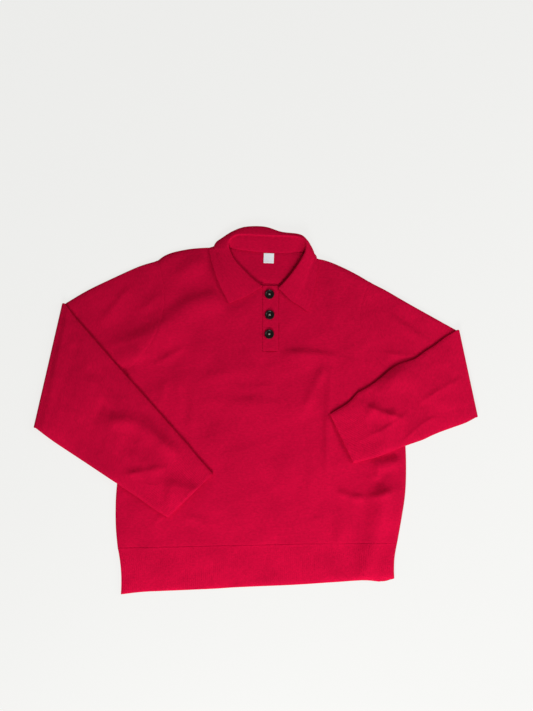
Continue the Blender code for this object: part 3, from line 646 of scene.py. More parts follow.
def grid_object(name: str, xyz: Array, uv: Array, closed: bool = False) -> bpy.types.Object:
    """Mesh object from a grid of points, with its cloth coordinates in metres as a UV map.

    Args:
        name: Name of the piece.
        xyz: Rows by columns by 3, in millimetres.
        uv: Rows by columns by 2, in millimetres; one more column than xyz where closed.
        closed: Whether each row's last point joins its first.

    Returns:
        The new object, linked into the scene.
    """
    rows, columns = xyz.shape[:2]
    spans = columns if closed else columns - 1
    i, j = np.meshgrid(np.arange(rows - 1), np.arange(spans), indexing="ij")
    k = (j + 1) % columns
    faces = np.stack([i * columns + j, i * columns + k, (i + 1) * columns + k, (i + 1) * columns + j], -1)
    mesh = bpy.data.meshes.new(name)
    mesh.from_pydata((xyz.reshape(-1, 3) * MM).tolist(), [], faces.reshape(-1, 4).tolist())
    corners = np.stack([uv[i, j], uv[i, j + 1], uv[i + 1, j + 1], uv[i + 1, j]], -2)
    layer = mesh.uv_layers.new(name="cloth")
    layer.data.foreach_set("uv", (corners.reshape(-1, 2) * MM).ravel())
    mesh.shade_smooth()
    mesh.update()
    obj = bpy.data.objects.new(name, mesh)
    bpy.context.scene.collection.objects.link(obj)
    return obj


def thicken(obj: bpy.types.Object, wall: float = WALL, rounding: float = 0.3) -> None:
    """Give a sheet its thickness about its middle, and round the edges of the wall.

    Args:
        obj: The sheet.
        wall: Thickness in millimetres.
        rounding: Radius of the rounded edges in millimetres.
    """
    solid = obj.modifiers.new("cloth", "SOLIDIFY")
    solid.thickness = wall * MM
    solid.offset = 0.0
    solid.use_quality_normals = True
    bevel = obj.modifiers.new("soft edge", "BEVEL")
    bevel.width = rounding * MM
    bevel.segments = 2
    bevel.limit_method = "ANGLE"
    bevel.angle_limit = math.radians(60.0)


def tube_uv(xyz: Array) -> Array:
    """Cloth coordinates of a tube: distance round each ring, and mean distance along the tube.

    Args:
        xyz: Rings by points by 3, in millimetres.

    Returns:
        Rings by one more point by 2, in millimetres.
    """
    ring = np.concatenate([xyz, xyz[:, :1]], 1)
    around, along = run_length(ring, 1), run_length(ring).mean(axis=1)
    return np.stack(np.broadcast_arrays(around, along[:, None]), -1)


# ---------------------------------------------------------------- finishes

MATHS = "ShaderNodeMath"
NOISE = "ShaderNodeTexNoise"
BUMP = "ShaderNodeBump"
RAMP = "ShaderNodeValToRGB"
MULTIPLY = {"operation": "MULTIPLY"}
MULTIPLY_ADD = {"operation": "MULTIPLY_ADD"}
SINE = {"operation": "SINE"}


def linear(code: str) -> tuple[float, float, float, float]:
    """Turn an sRGB hex colour into linear red, green, blue and a full alpha."""
    parts = [int(code[k:k + 2], 16) / 255.0 for k in (1, 3, 5)]
    return (*(c / 12.92 if c <= 0.04045 else ((c + 0.055) / 1.055) ** 2.4 for c in parts), 1.0)


def per_metre(size: float) -> float:
    """How many grains or threads of a size in millimetres there are in a metre: a pattern's scale."""
    return 1.0 / (size * MM)


def plug(node: bpy.types.Node, **values: object) -> None:
    """Link or set inputs of a node.

    Args:
        node: The node.
        values: For each input, by name with underscores or as in_0, in_1: a socket to link, a node whose
            first output is linked, or a plain value.
    """
    for key, value in values.items():
        socket = node.inputs[int(key[3:]) if key.startswith("in_") else key.replace("_", " ")]
        if isinstance(value, bpy.types.Node):
            value = value.outputs[0]
        if isinstance(value, bpy.types.NodeSocket):
            node.id_data.links.new(value, socket)
        else:
            socket.default_value = value


def add_node(tree: bpy.types.NodeTree, kind: str, settings: dict | None = None,
             stops: Sequence[tuple[float, str]] = (), **values: object) -> bpy.types.Node:
    """Add a node with its settings and inputs.

    Args:
        tree: The node tree.
        kind: The node's type name, such as ShaderNodeMath.
        settings: The node's own properties.
        stops: For a node with a colour ramp, the place and the hex colour of each end.
        values: Its inputs, as plug takes them.

    Returns:
        The new node.
    """
    node = tree.nodes.new(kind)
    for key, value in (settings or {}).items():
        setattr(node, key, value)
    for index, (place, colour) in enumerate(stops):
        node.color_ramp.elements[index].position = place
        node.color_ramp.elements[index].color = linear(colour)
    plug(node, **values)
    return node


def new_material(name: str) -> tuple[bpy.types.Material, bpy.types.NodeTree, bpy.types.Node]:
    """Start a material with its Principled shader.

    Args:
        name: Name of the finish.

    Returns:
        The material, its node tree and its shader node.
    """
    material = bpy.data.materials.new(name)
    material.use_nodes = True
    return material, material.node_tree, material.node_tree.nodes["Principled BSDF"]


@dataclass(frozen=True)
class KnittedWool:
    """Soft carded wool, machine-knitted and lightly milled: matt, with a short nap that catches light.

    The stitches are V-shaped pairs of legs, one pair a wale wide and a course tall; the nap blurs
    them. They are drawn a little coarser than a fine-gauge knit, so that a grain still shows. Sizes
    are in millimetres; a pattern's size is that of one of its grains. A leg climbs slant courses over
    a wale's width, and strand is the share of its height that its own roundness takes. Mottle, cloud
    and yarn are the weights of the random patterns in the colour. Stitch is the weight of the stitch
    height in it, which paints shade into the grooves between stitches and light onto their tops. The
    colour goes from the darker tone to colour between the levels, once lowered.
    """

    name: str
    colour: str = "#D2043A"
    # Darker end of the colour ramp: random darker wool, and the painted shade in the grooves between
    # stitches.
    dark_tone_and_groove_shade: str = "#A6022C"
    sheen: str = "#FF2E5C"
    wale: float = 2.6
    course: float = 2.1
    slant: float = 1.5
    strand: float = 0.35
    relief: float = 0.5
    relief_depth: float = 0.5
    stray: float = 0.9
    stray_size: float = 7.14
    nap: float = 0.7
    nap_size: float = 1.11
    mottle: float = 0.3
    mottle_size: float = 4.76
    cloud: float = 0.3
    cloud_size: float = 62.5
    yarn: float = 0.35
    yarn_size: tuple[float, float] = (6.67, 3.03)
    # Weight of the stitch height in the colour: painted shade in the grooves between stitches, painted
    # light on their tops.
    stitch: float = 0.18
    lowered: float = 0.02
    levels: tuple[float, float] = (0.22, 0.72)

    def stitches(self, tree: bpy.types.NodeTree, cloth: bpy.types.Node) -> bpy.types.Node:
        """Height of the stitches: slanting strands as a sine, rounded across each mirrored leg.

        Args:
            tree: The material's node tree.
            cloth: The node that gives the cloth's own coordinates.

        Returns:
            The node whose output is the height, about 0 to 1.
        """
        split = add_node(tree, "ShaderNodeSeparateXYZ", Vector=cloth)
        across = add_node(tree, MATHS, MULTIPLY, in_0=split.outputs["X"], in_1=per_metre(self.wale))
        upward = add_node(tree, MATHS, MULTIPLY, in_0=split.outputs["Y"], in_1=per_metre(self.course))
        leg = add_node(tree, MATHS, {"operation": "PINGPONG"}, in_0=across, in_1=0.5)
        climb = add_node(tree, MATHS, MULTIPLY_ADD, in_0=leg, in_1=self.slant, in_2=upward)
        phase = add_node(tree, MATHS, MULTIPLY, in_0=climb, in_1=2.0 * math.pi)
        strand = add_node(tree, MATHS, SINE, in_0=phase)
        swell = add_node(tree, MATHS, MULTIPLY_ADD, in_0=strand, in_1=self.strand, in_2=1 - self.strand)
        turn = add_node(tree, MATHS, MULTIPLY, in_0=leg, in_1=2.0 * math.pi)
        round_leg = add_node(tree, MATHS, SINE, in_0=turn)
        return add_node(tree, MATHS, MULTIPLY, in_0=swell, in_1=round_leg)

    def tone(self, tree: bpy.types.NodeTree, cloth: bpy.types.Node, place: bpy.types.NodeSocket,
             stitch: bpy.types.Node) -> bpy.types.Node:
        """Colour: fine mottling, broad clouds and streaks of yarn added up, with painted light on each
        stitch's top and painted shade in the grooves between stitches.

        Args:
            tree: The material's node tree.
            cloth: The node that gives the cloth's own coordinates.
            place: Coordinates in the garment.
            stitch: The stitches' height.

        Returns:
            The node whose output is the colour.
        """
        mottle = add_node(tree, NOISE, Scale=per_metre(self.mottle_size), Detail=4.0, Roughness=0.6,
                          Vector=place)
        cloud = add_node(tree, NOISE, Scale=per_metre(self.cloud_size), Detail=3.0, Vector=place)
        stretch = add_node(tree, "ShaderNodeMapping", Vector=cloth,
                           Scale=(*(per_metre(size) for size in self.yarn_size), 1.0))
        streak = add_node(tree, NOISE, {"noise_dimensions": "2D"}, Scale=1.0, Detail=2.0, Vector=stretch)
        level = add_node(tree, MATHS, MULTIPLY, in_0=streak, in_1=self.yarn)
        for part, weight in ((cloud, self.cloud), (mottle, self.mottle)):
            level = add_node(tree, MATHS, MULTIPLY_ADD, in_0=part, in_1=weight, in_2=level)
        level = add_node(tree, MATHS, {"operation": "SUBTRACT"}, in_0=level, in_1=self.lowered)
        # Painted shade in the stitches' grooves and painted light on their tops, taken from the stitch
        # height.
        level = add_node(tree, MATHS, MULTIPLY_ADD, in_0=stitch, in_1=self.stitch, in_2=level)
        return add_node(tree, RAMP, stops=tuple(zip(self.levels, (self.dark_tone_and_groove_shade, self.colour))), Fac=level)

    def build(self) -> bpy.types.Material:
        """Make the material: its stitches stray a little from the cloth's rows, under a short nap.

        Returns:
            The material.
        """
        material, tree, shader = new_material(self.name)
        cloth = add_node(tree, "ShaderNodeUVMap", {"uv_map": "cloth"})
        place = add_node(tree, "ShaderNodeTexCoord").outputs["Object"]
        wobble = add_node(tree, NOISE, Scale=per_metre(self.stray_size), Detail=2.0, Vector=place)
        strayed = add_node(tree, "ShaderNodeVectorMath", MULTIPLY_ADD, in_0=wobble.outputs["Color"],
                           in_1=(self.stray * MM, self.stray * MM, 0.0), in_2=cloth)
        stitch = self.stitches(tree, strayed)
        nap = add_node(tree, NOISE, Scale=per_metre(self.nap_size), Detail=3.0, Roughness=0.65,
                       Vector=place)
        height = add_node(tree, MATHS, MULTIPLY_ADD, in_0=nap, in_1=self.nap, in_2=stitch)
        bump = add_node(tree, BUMP, Strength=self.relief, Distance=self.relief_depth * MM, Height=height)
        plug(shader, Base_Color=self.tone(tree, cloth, place, stitch), Normal=bump, Roughness=0.92,
             Specular_IOR_Level=0.06, Sheen_Weight=0.12, Sheen_Roughness=0.45,
             Sheen_Tint=linear(self.sheen))
        return material


@dataclass(frozen=True)
class ButtonPolyester:
    """Cast polyester, turned and tumbled: near black-brown with faint clouds, a soft polish."""

    name: str = "button_plastic"
    colour: str = "#0D0807"
    cloud: str = "#19110E"
    cloud_size: float = 5.26
    scuff_size: float = 0.714

    def build(self) -> bpy.types.Material:
        """Make the material: clouds of two browns, and a gloss that the tumbling left uneven.

        Returns:
            The material.
        """
        material, tree, shader = new_material(self.name)
        place = add_node(tree, "ShaderNodeTexCoord").outputs["Object"]
        clouds = add_node(tree, NOISE, Scale=per_metre(self.cloud_size), Detail=4.0, Distortion=1.2,
                          Vector=place)
        brown = add_node(tree, RAMP, stops=((0.45, self.colour), (0.75, self.cloud)), Fac=clouds)
        scuffs = add_node(tree, NOISE, Scale=per_metre(self.scuff_size), Detail=2.0, Vector=place)
        rough = add_node(tree, "ShaderNodeMapRange", Value=scuffs, To_Min=0.28, To_Max=0.44)
        plug(shader, Base_Color=brown, Roughness=rough, Specular_IOR_Level=0.22)
        return material


@dataclass(frozen=True)
class SewingThread:
    """Spun polyester thread in a warm grey, two plies twisted, matt."""

    name: str = "button_thread"
    colour: str = "#B8ABA7"
    # Painted shade in the grooves between the plies.
    groove_shade: str = "#8C7F7B"
    ply: float = 1.11

    def build(self) -> bpy.types.Material:
        """Make the material: slanting plies along the thread's own length, with painted shade in the
        grooves between the plies.

        Returns:
            The material.
        """
        material, tree, shader = new_material(self.name)
        cloth = add_node(tree, "ShaderNodeUVMap", {"uv_map": "cloth"})
        plies = add_node(tree, "ShaderNodeTexWave", {"bands_direction": "DIAGONAL"},
                         Scale=per_metre(self.ply), Vector=cloth)
        # Darker where the plies' bump is low: painted shade in the grooves.
        grey = add_node(tree, RAMP, stops=((0.0, self.groove_shade), (1.0, self.colour)),
                        Fac=plies.outputs["Fac"])
        bump = add_node(tree, BUMP, Strength=0.5, Distance=0.1 * MM, Height=plies.outputs["Fac"])
        plug(shader, Base_Color=grey, Normal=bump, Roughness=0.8)
        return material


@dataclass(frozen=True)
class WovenTape:
    """White polyester label tape: a tight plain weave with a faint satin light."""

    name: str = "label_cloth"
    colour: str = "#FAFCFF"
    # Painted shade of the threads that lie lower in the weave.
    under: str = "#EEF2F8"
    thread: float = 0.45

    def build(self) -> bpy.types.Material:
        """Make the material: threads that go over and under, as a chequer of two whites; the darker
        white, on the squares that the bump makes lower, is painted shade.

        Returns:
            The material.
        """
        material, tree, shader = new_material(self.name)
        cloth = add_node(tree, "ShaderNodeUVMap", {"uv_map": "cloth"})
        weave = add_node(tree, "ShaderNodeTexChecker", Scale=per_metre(self.thread), Vector=cloth,
                         Color1=linear(self.colour), Color2=linear(self.under))
        bump = add_node(tree, BUMP, Strength=0.3, Distance=0.1 * MM, Height=weave.outputs["Fac"])
        plug(shader, Base_Color=weave, Normal=bump, Roughness=0.6)
        return material


@dataclass(frozen=True)
class StudioPaper:
    """Translucent matt paper on a light table: pale and even, with a hardly visible cloud in it."""

    name: str = "studio_paper"
    low: str = "#525251"
    high: str = "#555554"
    glow: str = "#FCFCFA"
    strength: float = 0.81
    cloud_size: float = 333.0

    def build(self) -> bpy.types.Material:
        """Make the material: a mid grey that reflects the lights, and an even glow from below.

        Returns:
            The material.
        """
        material, tree, shader = new_material(self.name)
        place = add_node(tree, "ShaderNodeTexCoord").outputs["Object"]
        clouds = add_node(tree, NOISE, Scale=per_metre(self.cloud_size), Vector=place)
        grey = add_node(tree, RAMP, stops=((0.0, self.low), (1.0, self.high)), Fac=clouds)
        plug(shader, Base_Color=grey, Roughness=0.95, Emission_Color=linear(self.glow),
             Emission_Strength=self.strength)
        return material


# ---------------------------------------------------------------- pieces of the garment

def settle(obj: bpy.types.Object, slot: str, material: bpy.types.Material, *nodes: str) -> None:
    """Dress a finished piece, tie it to the garment's body and hide any solids that it replaces.

    Args:
        obj: The piece.
        slot: The record's material slot. Not used.
        material: Its finish.
        nodes: Names of the solids that it replaces, if any.
    """
    obj.data.materials.append(material)
    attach(obj, "root")
    if nodes:
        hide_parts(*nodes)
    obj.data.calc_loop_triangles()
    LOG.info("%s: %d triangles before its modifiers", obj.name, len(obj.data.loop_triangles))


def make_cloth(name: str, xyz: Array, uv: Array, slot: str, material: bpy.types.Material,
               closed: bool = False) -> bpy.types.Object:
    """Make a piece of the garment's cloth from its middle surface, in place of the solid of its name.

    Args:
        name: Name of the solid.
        xyz: Rows by columns by 3, in millimetres.
        uv: The cloth's own coordinates, as grid_object takes them.
        slot: The record's material slot. Not used, though passed on to settle.
        material: The knitted wool.
        closed: Whether the piece is a tube.

    Returns:
        The piece.
    """
    obj = grid_object(name + "_cloth", xyz, uv, closed)
    thicken(obj)
    settle(obj, slot, material, name)
    return obj


def cut_away(obj: bpy.types.Object, tool: bpy.types.Object) -> None:
    """Subtract a tool from a piece, bake the cut into the piece's mesh and remove the tool.

    Args:
        obj: The piece; its other modifiers are baked as well.
        tool: A closed solid that runs right through the piece.
    """
    cut = obj.modifiers.new("cut", "BOOLEAN")
    cut.operation = "DIFFERENCE"
    cut.solver = "EXACT"
    cut.object = tool
    depsgraph = bpy.context.evaluated_depsgraph_get()
    mesh = bpy.data.meshes.new_from_object(obj.evaluated_get(depsgraph))
    obj.modifiers.clear()
    old, obj.data = obj.data, mesh
    bpy.data.meshes.remove(old)
    bpy.data.objects.remove(tool, do_unlink=True)


@dataclass
class BodyPanel:
    """Front or back panel: a patch blended from the rib seam, both sides and the top edge.

    The neck edge runs from first to last, fractions of the width, and the armpit is at a fraction of
    the height. Steps are counted right of, in and left of the neck, and below and above the armpit;
    the fine ones, more steps by the seams with their share of the run, are as ended takes them.
    """

    name: str
    neck: Table
    height: Callable[[Array], Array]
    lies_on: str
    steps_across: tuple[int, int, int] = (34, 46, 34)
    steps_up: tuple[int, int] = (76, 44)
    fine: tuple[int, float] = (5, 0.015)
    first: float = 0.3
    last: float = 0.72
    armpit: float = 0.6

    def top(self, u: Array) -> Array:
        """Top edge: shoulder, neck edge, shoulder, each over its own share of the width.

        Args:
            u: Fractions of the width, from the right side.

        Returns:
            Points in plan.
        """
        right = through(SHOULDER_RIGHT, np.clip(u / self.first, 0, 1))
        mid = through(self.neck, np.clip((u - self.first) / (self.last - self.first), 0, 1))
        left = through(SHOULDER_LEFT, np.clip((u - self.last) / (1 - self.last), 0, 1))
        u = u[:, None]
        return np.where(u < self.first, right, np.where(u > self.last, left, mid))

    def side(self, v: Array, line: Table, rows: Table, shift: float) -> Array:
        """Side edge: the side seam up to the armpit, then the armhole.

        Args:
            v: Fractions of the height, from the rib.
            line: The side seam.
            rows: The sleeve's upper arm, whose first section is the armhole.
            shift: Shift in x of the armhole, by which the panel runs into the sleeve.

        Returns:
            Points in plan.
        """
        below = through(line, np.clip(v / self.armpit, 0, 1))
        above = armhole(rows, np.clip(1 - (v - self.armpit) / (1 - self.armpit), 0, 1)) + (shift, 0.0)
        return np.where(v[:, None] <= self.armpit, below, above)

    def plan(self) -> Array:
        """Grid of the panel in plan: the two edge blends added, less the blend of the corners.

        Returns:
            Rows by columns by x and y.
        """
        a, b, c = self.steps_across
        u = joined(self.first * ended(a), self.first + (self.last - self.first) * np.linspace(0, 1, b + 1),
                   self.last + (1 - self.last) * ended(c))
        v = joined(self.armpit * ended(self.steps_up[0], *self.fine),
                   self.armpit + (1 - self.armpit) * np.linspace(0, 1, self.steps_up[1] + 1))
        bottom, top = through(RIB_SEAM, u)[None], self.top(u)[None]
        right = self.side(v, SIDE_RIGHT, RIGHT_UPPER_ARM, LINK)[:, None]
        left = self.side(v, SIDE_LEFT, LEFT_UPPER_ARM, -LINK)[:, None]
        u, v = u[None, :, None], v[:, None, None]
        corners = ((1 - u) * (1 - v) * bottom[:, :1] + u * (1 - v) * bottom[:, -1:]
                   + (1 - u) * v * top[:, :1] + u * v * top[:, -1:])
        return (1 - v) * bottom + v * top + (1 - u) * right + u * left - corners

    def build(self, material: bpy.types.Material) -> bpy.types.Object:
        """Args:
            material: The knitted wool.

        Returns:
            The panel.
        """
        xy = self.plan()
        xyz = np.concatenate([xy, self.height(xy)[..., None]], -1)
        obj = make_cloth(self.name, xyz, xy, "wool_plain", material)
        return obj


def cut_slot(front: bpy.types.Object) -> None:
    """Cut the placket's slot through the front panel, from its foot past the neck edge, with a box.

    Args:
        front: The front panel.
    """
    low = Vector((PLACKET_RIGHT_X + SEAM, PLACKET_BOTTOM_Y + SEAM, SLOT_Z[0])) * MM
    high = Vector((PLACKET_LEFT_X - SEAM, SLOT_TOP_Y, SLOT_Z[1])) * MM
    bpy.ops.mesh.primitive_cube_add(size=1.0)
    tool = bpy.context.active_object
    tool.location = (low + high) / 2
    tool.scale = high - low
    cut_away(front, tool)


@dataclass
class HemRib:
    """Ribbed welt under the rib seam, front or back, its ribs standing as real ridges.

    Wide and tall are the welt's own size, pitch and depth those of its ribs. Waist is how far its ends
    draw in halfway up, step how high it stands beside the seam, fray how much of the ribs shows in the
    hem edge. Fades, and the start of the step, are shares of the height. Rows are as ended takes them.
    """

    name: str
    height: Callable[[Array], Array]
    lies_on: str
    wide: float = 512.0
    tall: float = 88.0
    pitch: float = 3.8
    depth: float = 0.2
    steps_per_rib: int = 5
    rows: tuple[int, int, float] = (22, 3, 0.04)
    waist: float = 3.0
    step: float = 0.45
    fray: float = 0.35
    seam_fade: float = 1 / 12
    fray_fade: float = 1 / 9
    edge_fade: float = 1 / 16
    step_start: float = 0.955
    step_fade: float = 0.03

    def build(self, material: bpy.types.Material) -> bpy.types.Object:
        """Make the welt: straight blends from hem edge to seam, a sine across the ribs, a step at the seam.

        Args:
            material: The ribbed wool.

        Returns:
            The welt.
        """
        ribs = round(self.wide / self.pitch)
        u = np.linspace(0, 1, ribs * self.steps_per_rib + 1)
        v = ended(*self.rows)[:, None, None]
        low, high = through(HEM_EDGE, u)[None], through(RIB_SEAM, u)[None] - (0.0, LINK)
        xy = low * (1 - v) + high * v
        xy = xy + np.array([1.0, 0.0]) * self.waist * 4 * v * (1 - v) * (1 - 2 * u[None, :, None])
        v = v[..., 0]
        ridge = self.depth * np.cos(2 * math.pi * ribs * u)[None, :] * smooth((1 - v) / self.seam_fade)
        xy[..., 1] -= self.fray * ridge * (1 - smooth(v / self.fray_fade))
        z = self.height(xy) + self.step * smooth((v - self.step_start) / self.step_fade)
        z = z + ridge * (0.5 + 0.5 * smooth(v / self.edge_fade))
        xyz = np.concatenate([xy, z[..., None]], -1)
        uv = np.stack(np.broadcast_arrays(self.wide * u[None, :], self.tall * v), -1)
        obj = make_cloth(self.name, xyz, uv, "wool_rib", material)
        return obj


@dataclass
class Ring:
    """Section of a flattened tube: along the lower layer, round the low edge, back, round the top edge.

    It has steps across each layer, crowded towards the edges, and more round each edge. It is kept in
    at the edges by an inset that fades towards the middle with a power, its hold.
    """

    across: int = 96
    edge: int = 8
    crowd: float = 0.1
    hold: int = 6
    radius: float = LAYER / 2
    fraction: Array = field(init=False)
    beyond: Array = field(init=False)
    off: Array = field(init=False)

    def __post_init__(self) -> None:
        """Work out each point's fraction across, its reach past the edge and its height off the middle."""
        run = np.linspace(0, 1, self.across + 1)
        angle = np.pi * np.arange(1, self.edge) / self.edge
        bend, swing = self.radius * np.sin(angle), self.radius * np.cos(angle)
        run = run - self.crowd * np.sin(2 * np.pi * run)
        self.fraction = np.concatenate([run, np.ones(len(angle)), run[::-1], np.zeros(len(angle))])
        self.beyond = np.concatenate([0 * run, bend, 0 * run, -bend])
        self.off = np.concatenate([0 * run - self.radius, -swing, 0 * run + self.radius, swing])

    def share(self, side: float) -> Array:
        """Share of each point in one layer: side 1 is the upper one, -1 the one on top once turned."""
        return np.clip(0.5 + side * self.off / (2 * self.radius), 0, 1)

    def plan(self, rows: Array, snug: Array | float = 1.0) -> Array:
        """Plan of the ring in each section, kept in from the sleeve's edges by the tube's own radius.

        Args:
            rows: Sleeve rows, one a section.
            snug: Share of that radius in each section; 0 where the ring meets the armhole.

        Returns:
            Sections by points by x and y.
        """
        run = rows[:, 2:4] - rows[:, 0:2]
        unit = (run / np.linalg.norm(run, axis=-1, keepdims=True))[:, None, :]
        inset = self.radius + WALL / 2
        ease = np.broadcast_to(snug, len(rows))[:, None]
        kept_in = inset * ((1 - self.fraction) ** self.hold - self.fraction**self.hold)
        shift = ease * (self.beyond + kept_in)
        return section_line(rows, self.fraction) + unit * shift[..., None]


@dataclass
class Sleeve:
    """Sleeve as one tube: flat upper arm, half a turn at the elbow fold, forearm lying over it.

    Stations are counted along the upper arm, round the fold and along the forearm. The tube closes
    from the armhole over the first snug ones, and rises from the fold over the first easy ones. Near
    the armhole and the cuff more stations are added, from or to a fraction of the run.
    """

    name: str
    upper_arm: Table
    forearm: Table
    ring: Ring = field(default_factory=Ring)
    stations: tuple[int, int, int] = (44, 10, 90)
    snug: int = 9
    easy: int = 8
    armhole_fine: tuple[float, int] = (0.04, 7)
    cuff_fine: tuple[float, int] = (0.97, 6)

    def under(self, rows: Array) -> Array:
        """Upper arm: its lower layer flat, its upper layer following the front's relief.

        Args:
            rows: Sections of the upper arm in plan.

        Returns:
            Grid of points.
        """
        xy = self.ring.plan(rows, smooth(np.arange(len(rows)) / self.snug))
        z = UPPER_ARM_Z + self.ring.off + self.ring.share(1.0) * front_rise(xy)
        return np.concatenate([xy, z[..., None]], -1)

    def turn(self, row: Array) -> Array:
        """Elbow: the section turns about the fold line, each layer on a half circle of its own.

        Args:
            row: The fold line, the upper arm's last section.

        Returns:
            Grid of points.
        """
        centre, radius = (UPPER_ARM_Z + FOREARM_Z) / 2, (FOREARM_Z - UPPER_ARM_Z) / 2
        run = row[2:4] - row[0:2]
        outward = np.array([run[1], -run[0]]) / np.linalg.norm(run)
        outward *= math.copysign(1.0, outward[0] * row[0])
        angle = (np.pi * np.arange(1, self.stations[1]) / self.stations[1])[:, None]
        reach = (radius - self.ring.off) * np.sin(angle)
        z = centre - (radius - self.ring.off) * np.cos(angle)
        return np.concatenate([self.ring.plan(row[None]) + reach[..., None] * outward, z[..., None]], -1)

    def over(self, rows: Array) -> Array:
        """Forearm: the same tube turned over, domed a little, with its own folds and ripples.

        Args:
            rows: Sections of the forearm in plan.

        Returns:
            Grid of points.
        """
        xy = self.ring.plan(rows)
        start = smooth(np.arange(len(rows)) / self.easy)[:, None]
        folds = fold_height(SLEEVE_FOLDS, xy)
        risen = lying_on(xy, folds) + self.ring.share(-1.0) * forearm_rise(xy, self.ring.fraction, folds)
        z = FOREARM_Z - self.ring.off + start * risen - over_drop(xy)
        return np.concatenate([xy, z[..., None]], -1)

    def build(self, material: bpy.types.Material) -> bpy.types.Object:
        """Args:
            material: The knitted wool.

        Returns:
            The sleeve.
        """
        until, more = self.armhole_fine
        down = joined(np.linspace(0, until, more), np.linspace(until, 1, self.stations[0]))
        since, more = self.cuff_fine
        back = joined(np.linspace(0, since, self.stations[2]), np.linspace(since, 1, more))
        xyz = np.vstack([self.under(through(self.upper_arm, down, by_length=False)),
                         self.turn(np.asarray(self.upper_arm[-1], float)),
                         self.over(through(self.forearm, back, by_length=False))])
        uv = tube_uv(xyz)
        obj = make_cloth(self.name, xyz, uv, "wool_plain", material, closed=True)
        return obj


@dataclass
class Cuff:
    """Ribbed cuff: a short tube on from the sleeve, its ribs standing as real ridges.

    Pitch and depth are those of the ribs, which fade in over a share of the length. Over the closing
    length at its open end the tube flattens to the shut share of its height. Stations are as ended
    takes them.
    """

    name: str
    rows: Table
    pitch: float = 3.6
    depth: float = 0.2
    steps_per_rib: int = 5
    stations: tuple[int, int, float] = (20, 3, 0.05)
    rib_fade: float = 0.1
    closing: float = 3.2
    shut: float = 0.66

    def build(self, material: bpy.types.Material) -> bpy.types.Object:
        """Make the cuff: straight sections, a sine round the ring for the ribs, a low dome on top.

        Args:
            material: The ribbed wool.

        Returns:
            The cuff.
        """
        first = np.asarray(self.rows[0], float)
        width = np.linalg.norm(first[2:4] - first[0:2])
        ribs = int(round(width / self.pitch))
        ring = Ring(across=ribs * self.steps_per_rib, edge=6, crowd=0.0)
        length = np.linalg.norm(np.asarray(self.rows[-1], float)[0:2] - first[0:2])
        t = ended(*self.stations)
        rows = through(self.rows, LINK / length + (1 - LINK / length) * t, by_length=False)
        xy = ring.plan(rows)
        folds = fold_height(SLEEVE_FOLDS, xy)
        ridge = self.depth * np.cos(2 * math.pi * ribs * ring.fraction)
        ridge = ridge * (1 - np.abs(ring.beyond) / ring.radius)
        ridge = ridge[None] * smooth(t / self.rib_fade)[:, None] * np.sign(-ring.off + 1e-9)[None]
        open_share = self.shut + (1 - self.shut) * smooth((1.0 - t) * length / self.closing)[:, None]
        own = open_share * forearm_rise(xy, ring.fraction, folds) + ridge
        z = FOREARM_Z - ring.off + lying_on(xy, folds) + ring.share(-1.0) * own - over_drop(xy)
        xyz = np.concatenate([xy, z[..., None]], -1)
        uv = tube_uv(xyz)
        obj = make_cloth(self.name, xyz, uv, "wool_rib", material, closed=True)
        return obj


@dataclass
class Collar:
    """Turned-down collar knitted in one strip: stand, roll and fall, its ends free at the front.

    Stand is where its middle lies between seam and roll, in x, y and z. The brow, where stand and roll
    meet, hangs below the roll by a share of the roll's radius, but no more than a share of the stand.
    The crest stands out by the radius and a little up, and the foot lies at a share of the fall.
    """

    name: str = "collar"
    steps_round: int = 230
    steps_across: int = 34
    roll_radius: float = 2.4
    stand: tuple[float, float, float] = (0.7, 0.7, 0.5)
    brow: float = 0.9
    brow_most: float = 0.4
    crest_up: float = 0.2
    foot: float = 0.3

    def sections(self) -> Array:
        """Control points of each section: stand, rounded roll, widest point, foot and free edge.

        Returns:
            Sections by points by 3.
        """
        rows = np.asarray(COLLAR, float).reshape(len(COLLAR), 12)
        t = np.linspace(0, 1, self.steps_round + 1)
        seam, roll, rim, edge = np.split(through(rows, t, by_length=False), 4, axis=1)
        out = (rim - roll) * (1.0, 1.0, 0.0)
        out /= np.linalg.norm(out, axis=1, keepdims=True)
        up = np.array([0.0, 0.0, 1.0])
        mid = seam + (roll - seam) * self.stand
        brow = roll - up * np.minimum(self.roll_radius * self.brow, self.brow_most * (roll - seam)[:, 2:])
        crest = roll + out * self.roll_radius + up * self.crest_up
        foot = np.hstack([rim[:, :2] * (1 - self.foot) + edge[:, :2] * self.foot, edge[:, 2:]])
        half = (foot + edge) / 2
        return np.stack([seam, mid, brow, crest, rim, foot, half, edge], 1)

    def build(self, material: bpy.types.Material) -> bpy.types.Object:
        """Make the collar: a smooth curve through each section's points, and dress it.

        Args:
            material: The ribbed wool.

        Returns:
            The collar.
        """
        points = self.sections()
        t = np.linspace(0, 1, self.steps_across + 1)
        rows = np.moveaxis(points, 1, 0).reshape(points.shape[1], -1)
        xyz = through(rows, t, by_length=False).reshape(len(t), len(points), 3)
        xyz = np.moveaxis(xyz, 0, 1)
        xyz[..., 2] = np.maximum(xyz[..., 2], BACK_Z)
        down, round_neck = run_length(xyz, 1), run_length(xyz[:, len(t) // 2])
        uv = np.stack(np.broadcast_arrays(round_neck[:, None], down), -1)
        obj = make_cloth(self.name, xyz, uv, "wool_rib", material)
        return obj


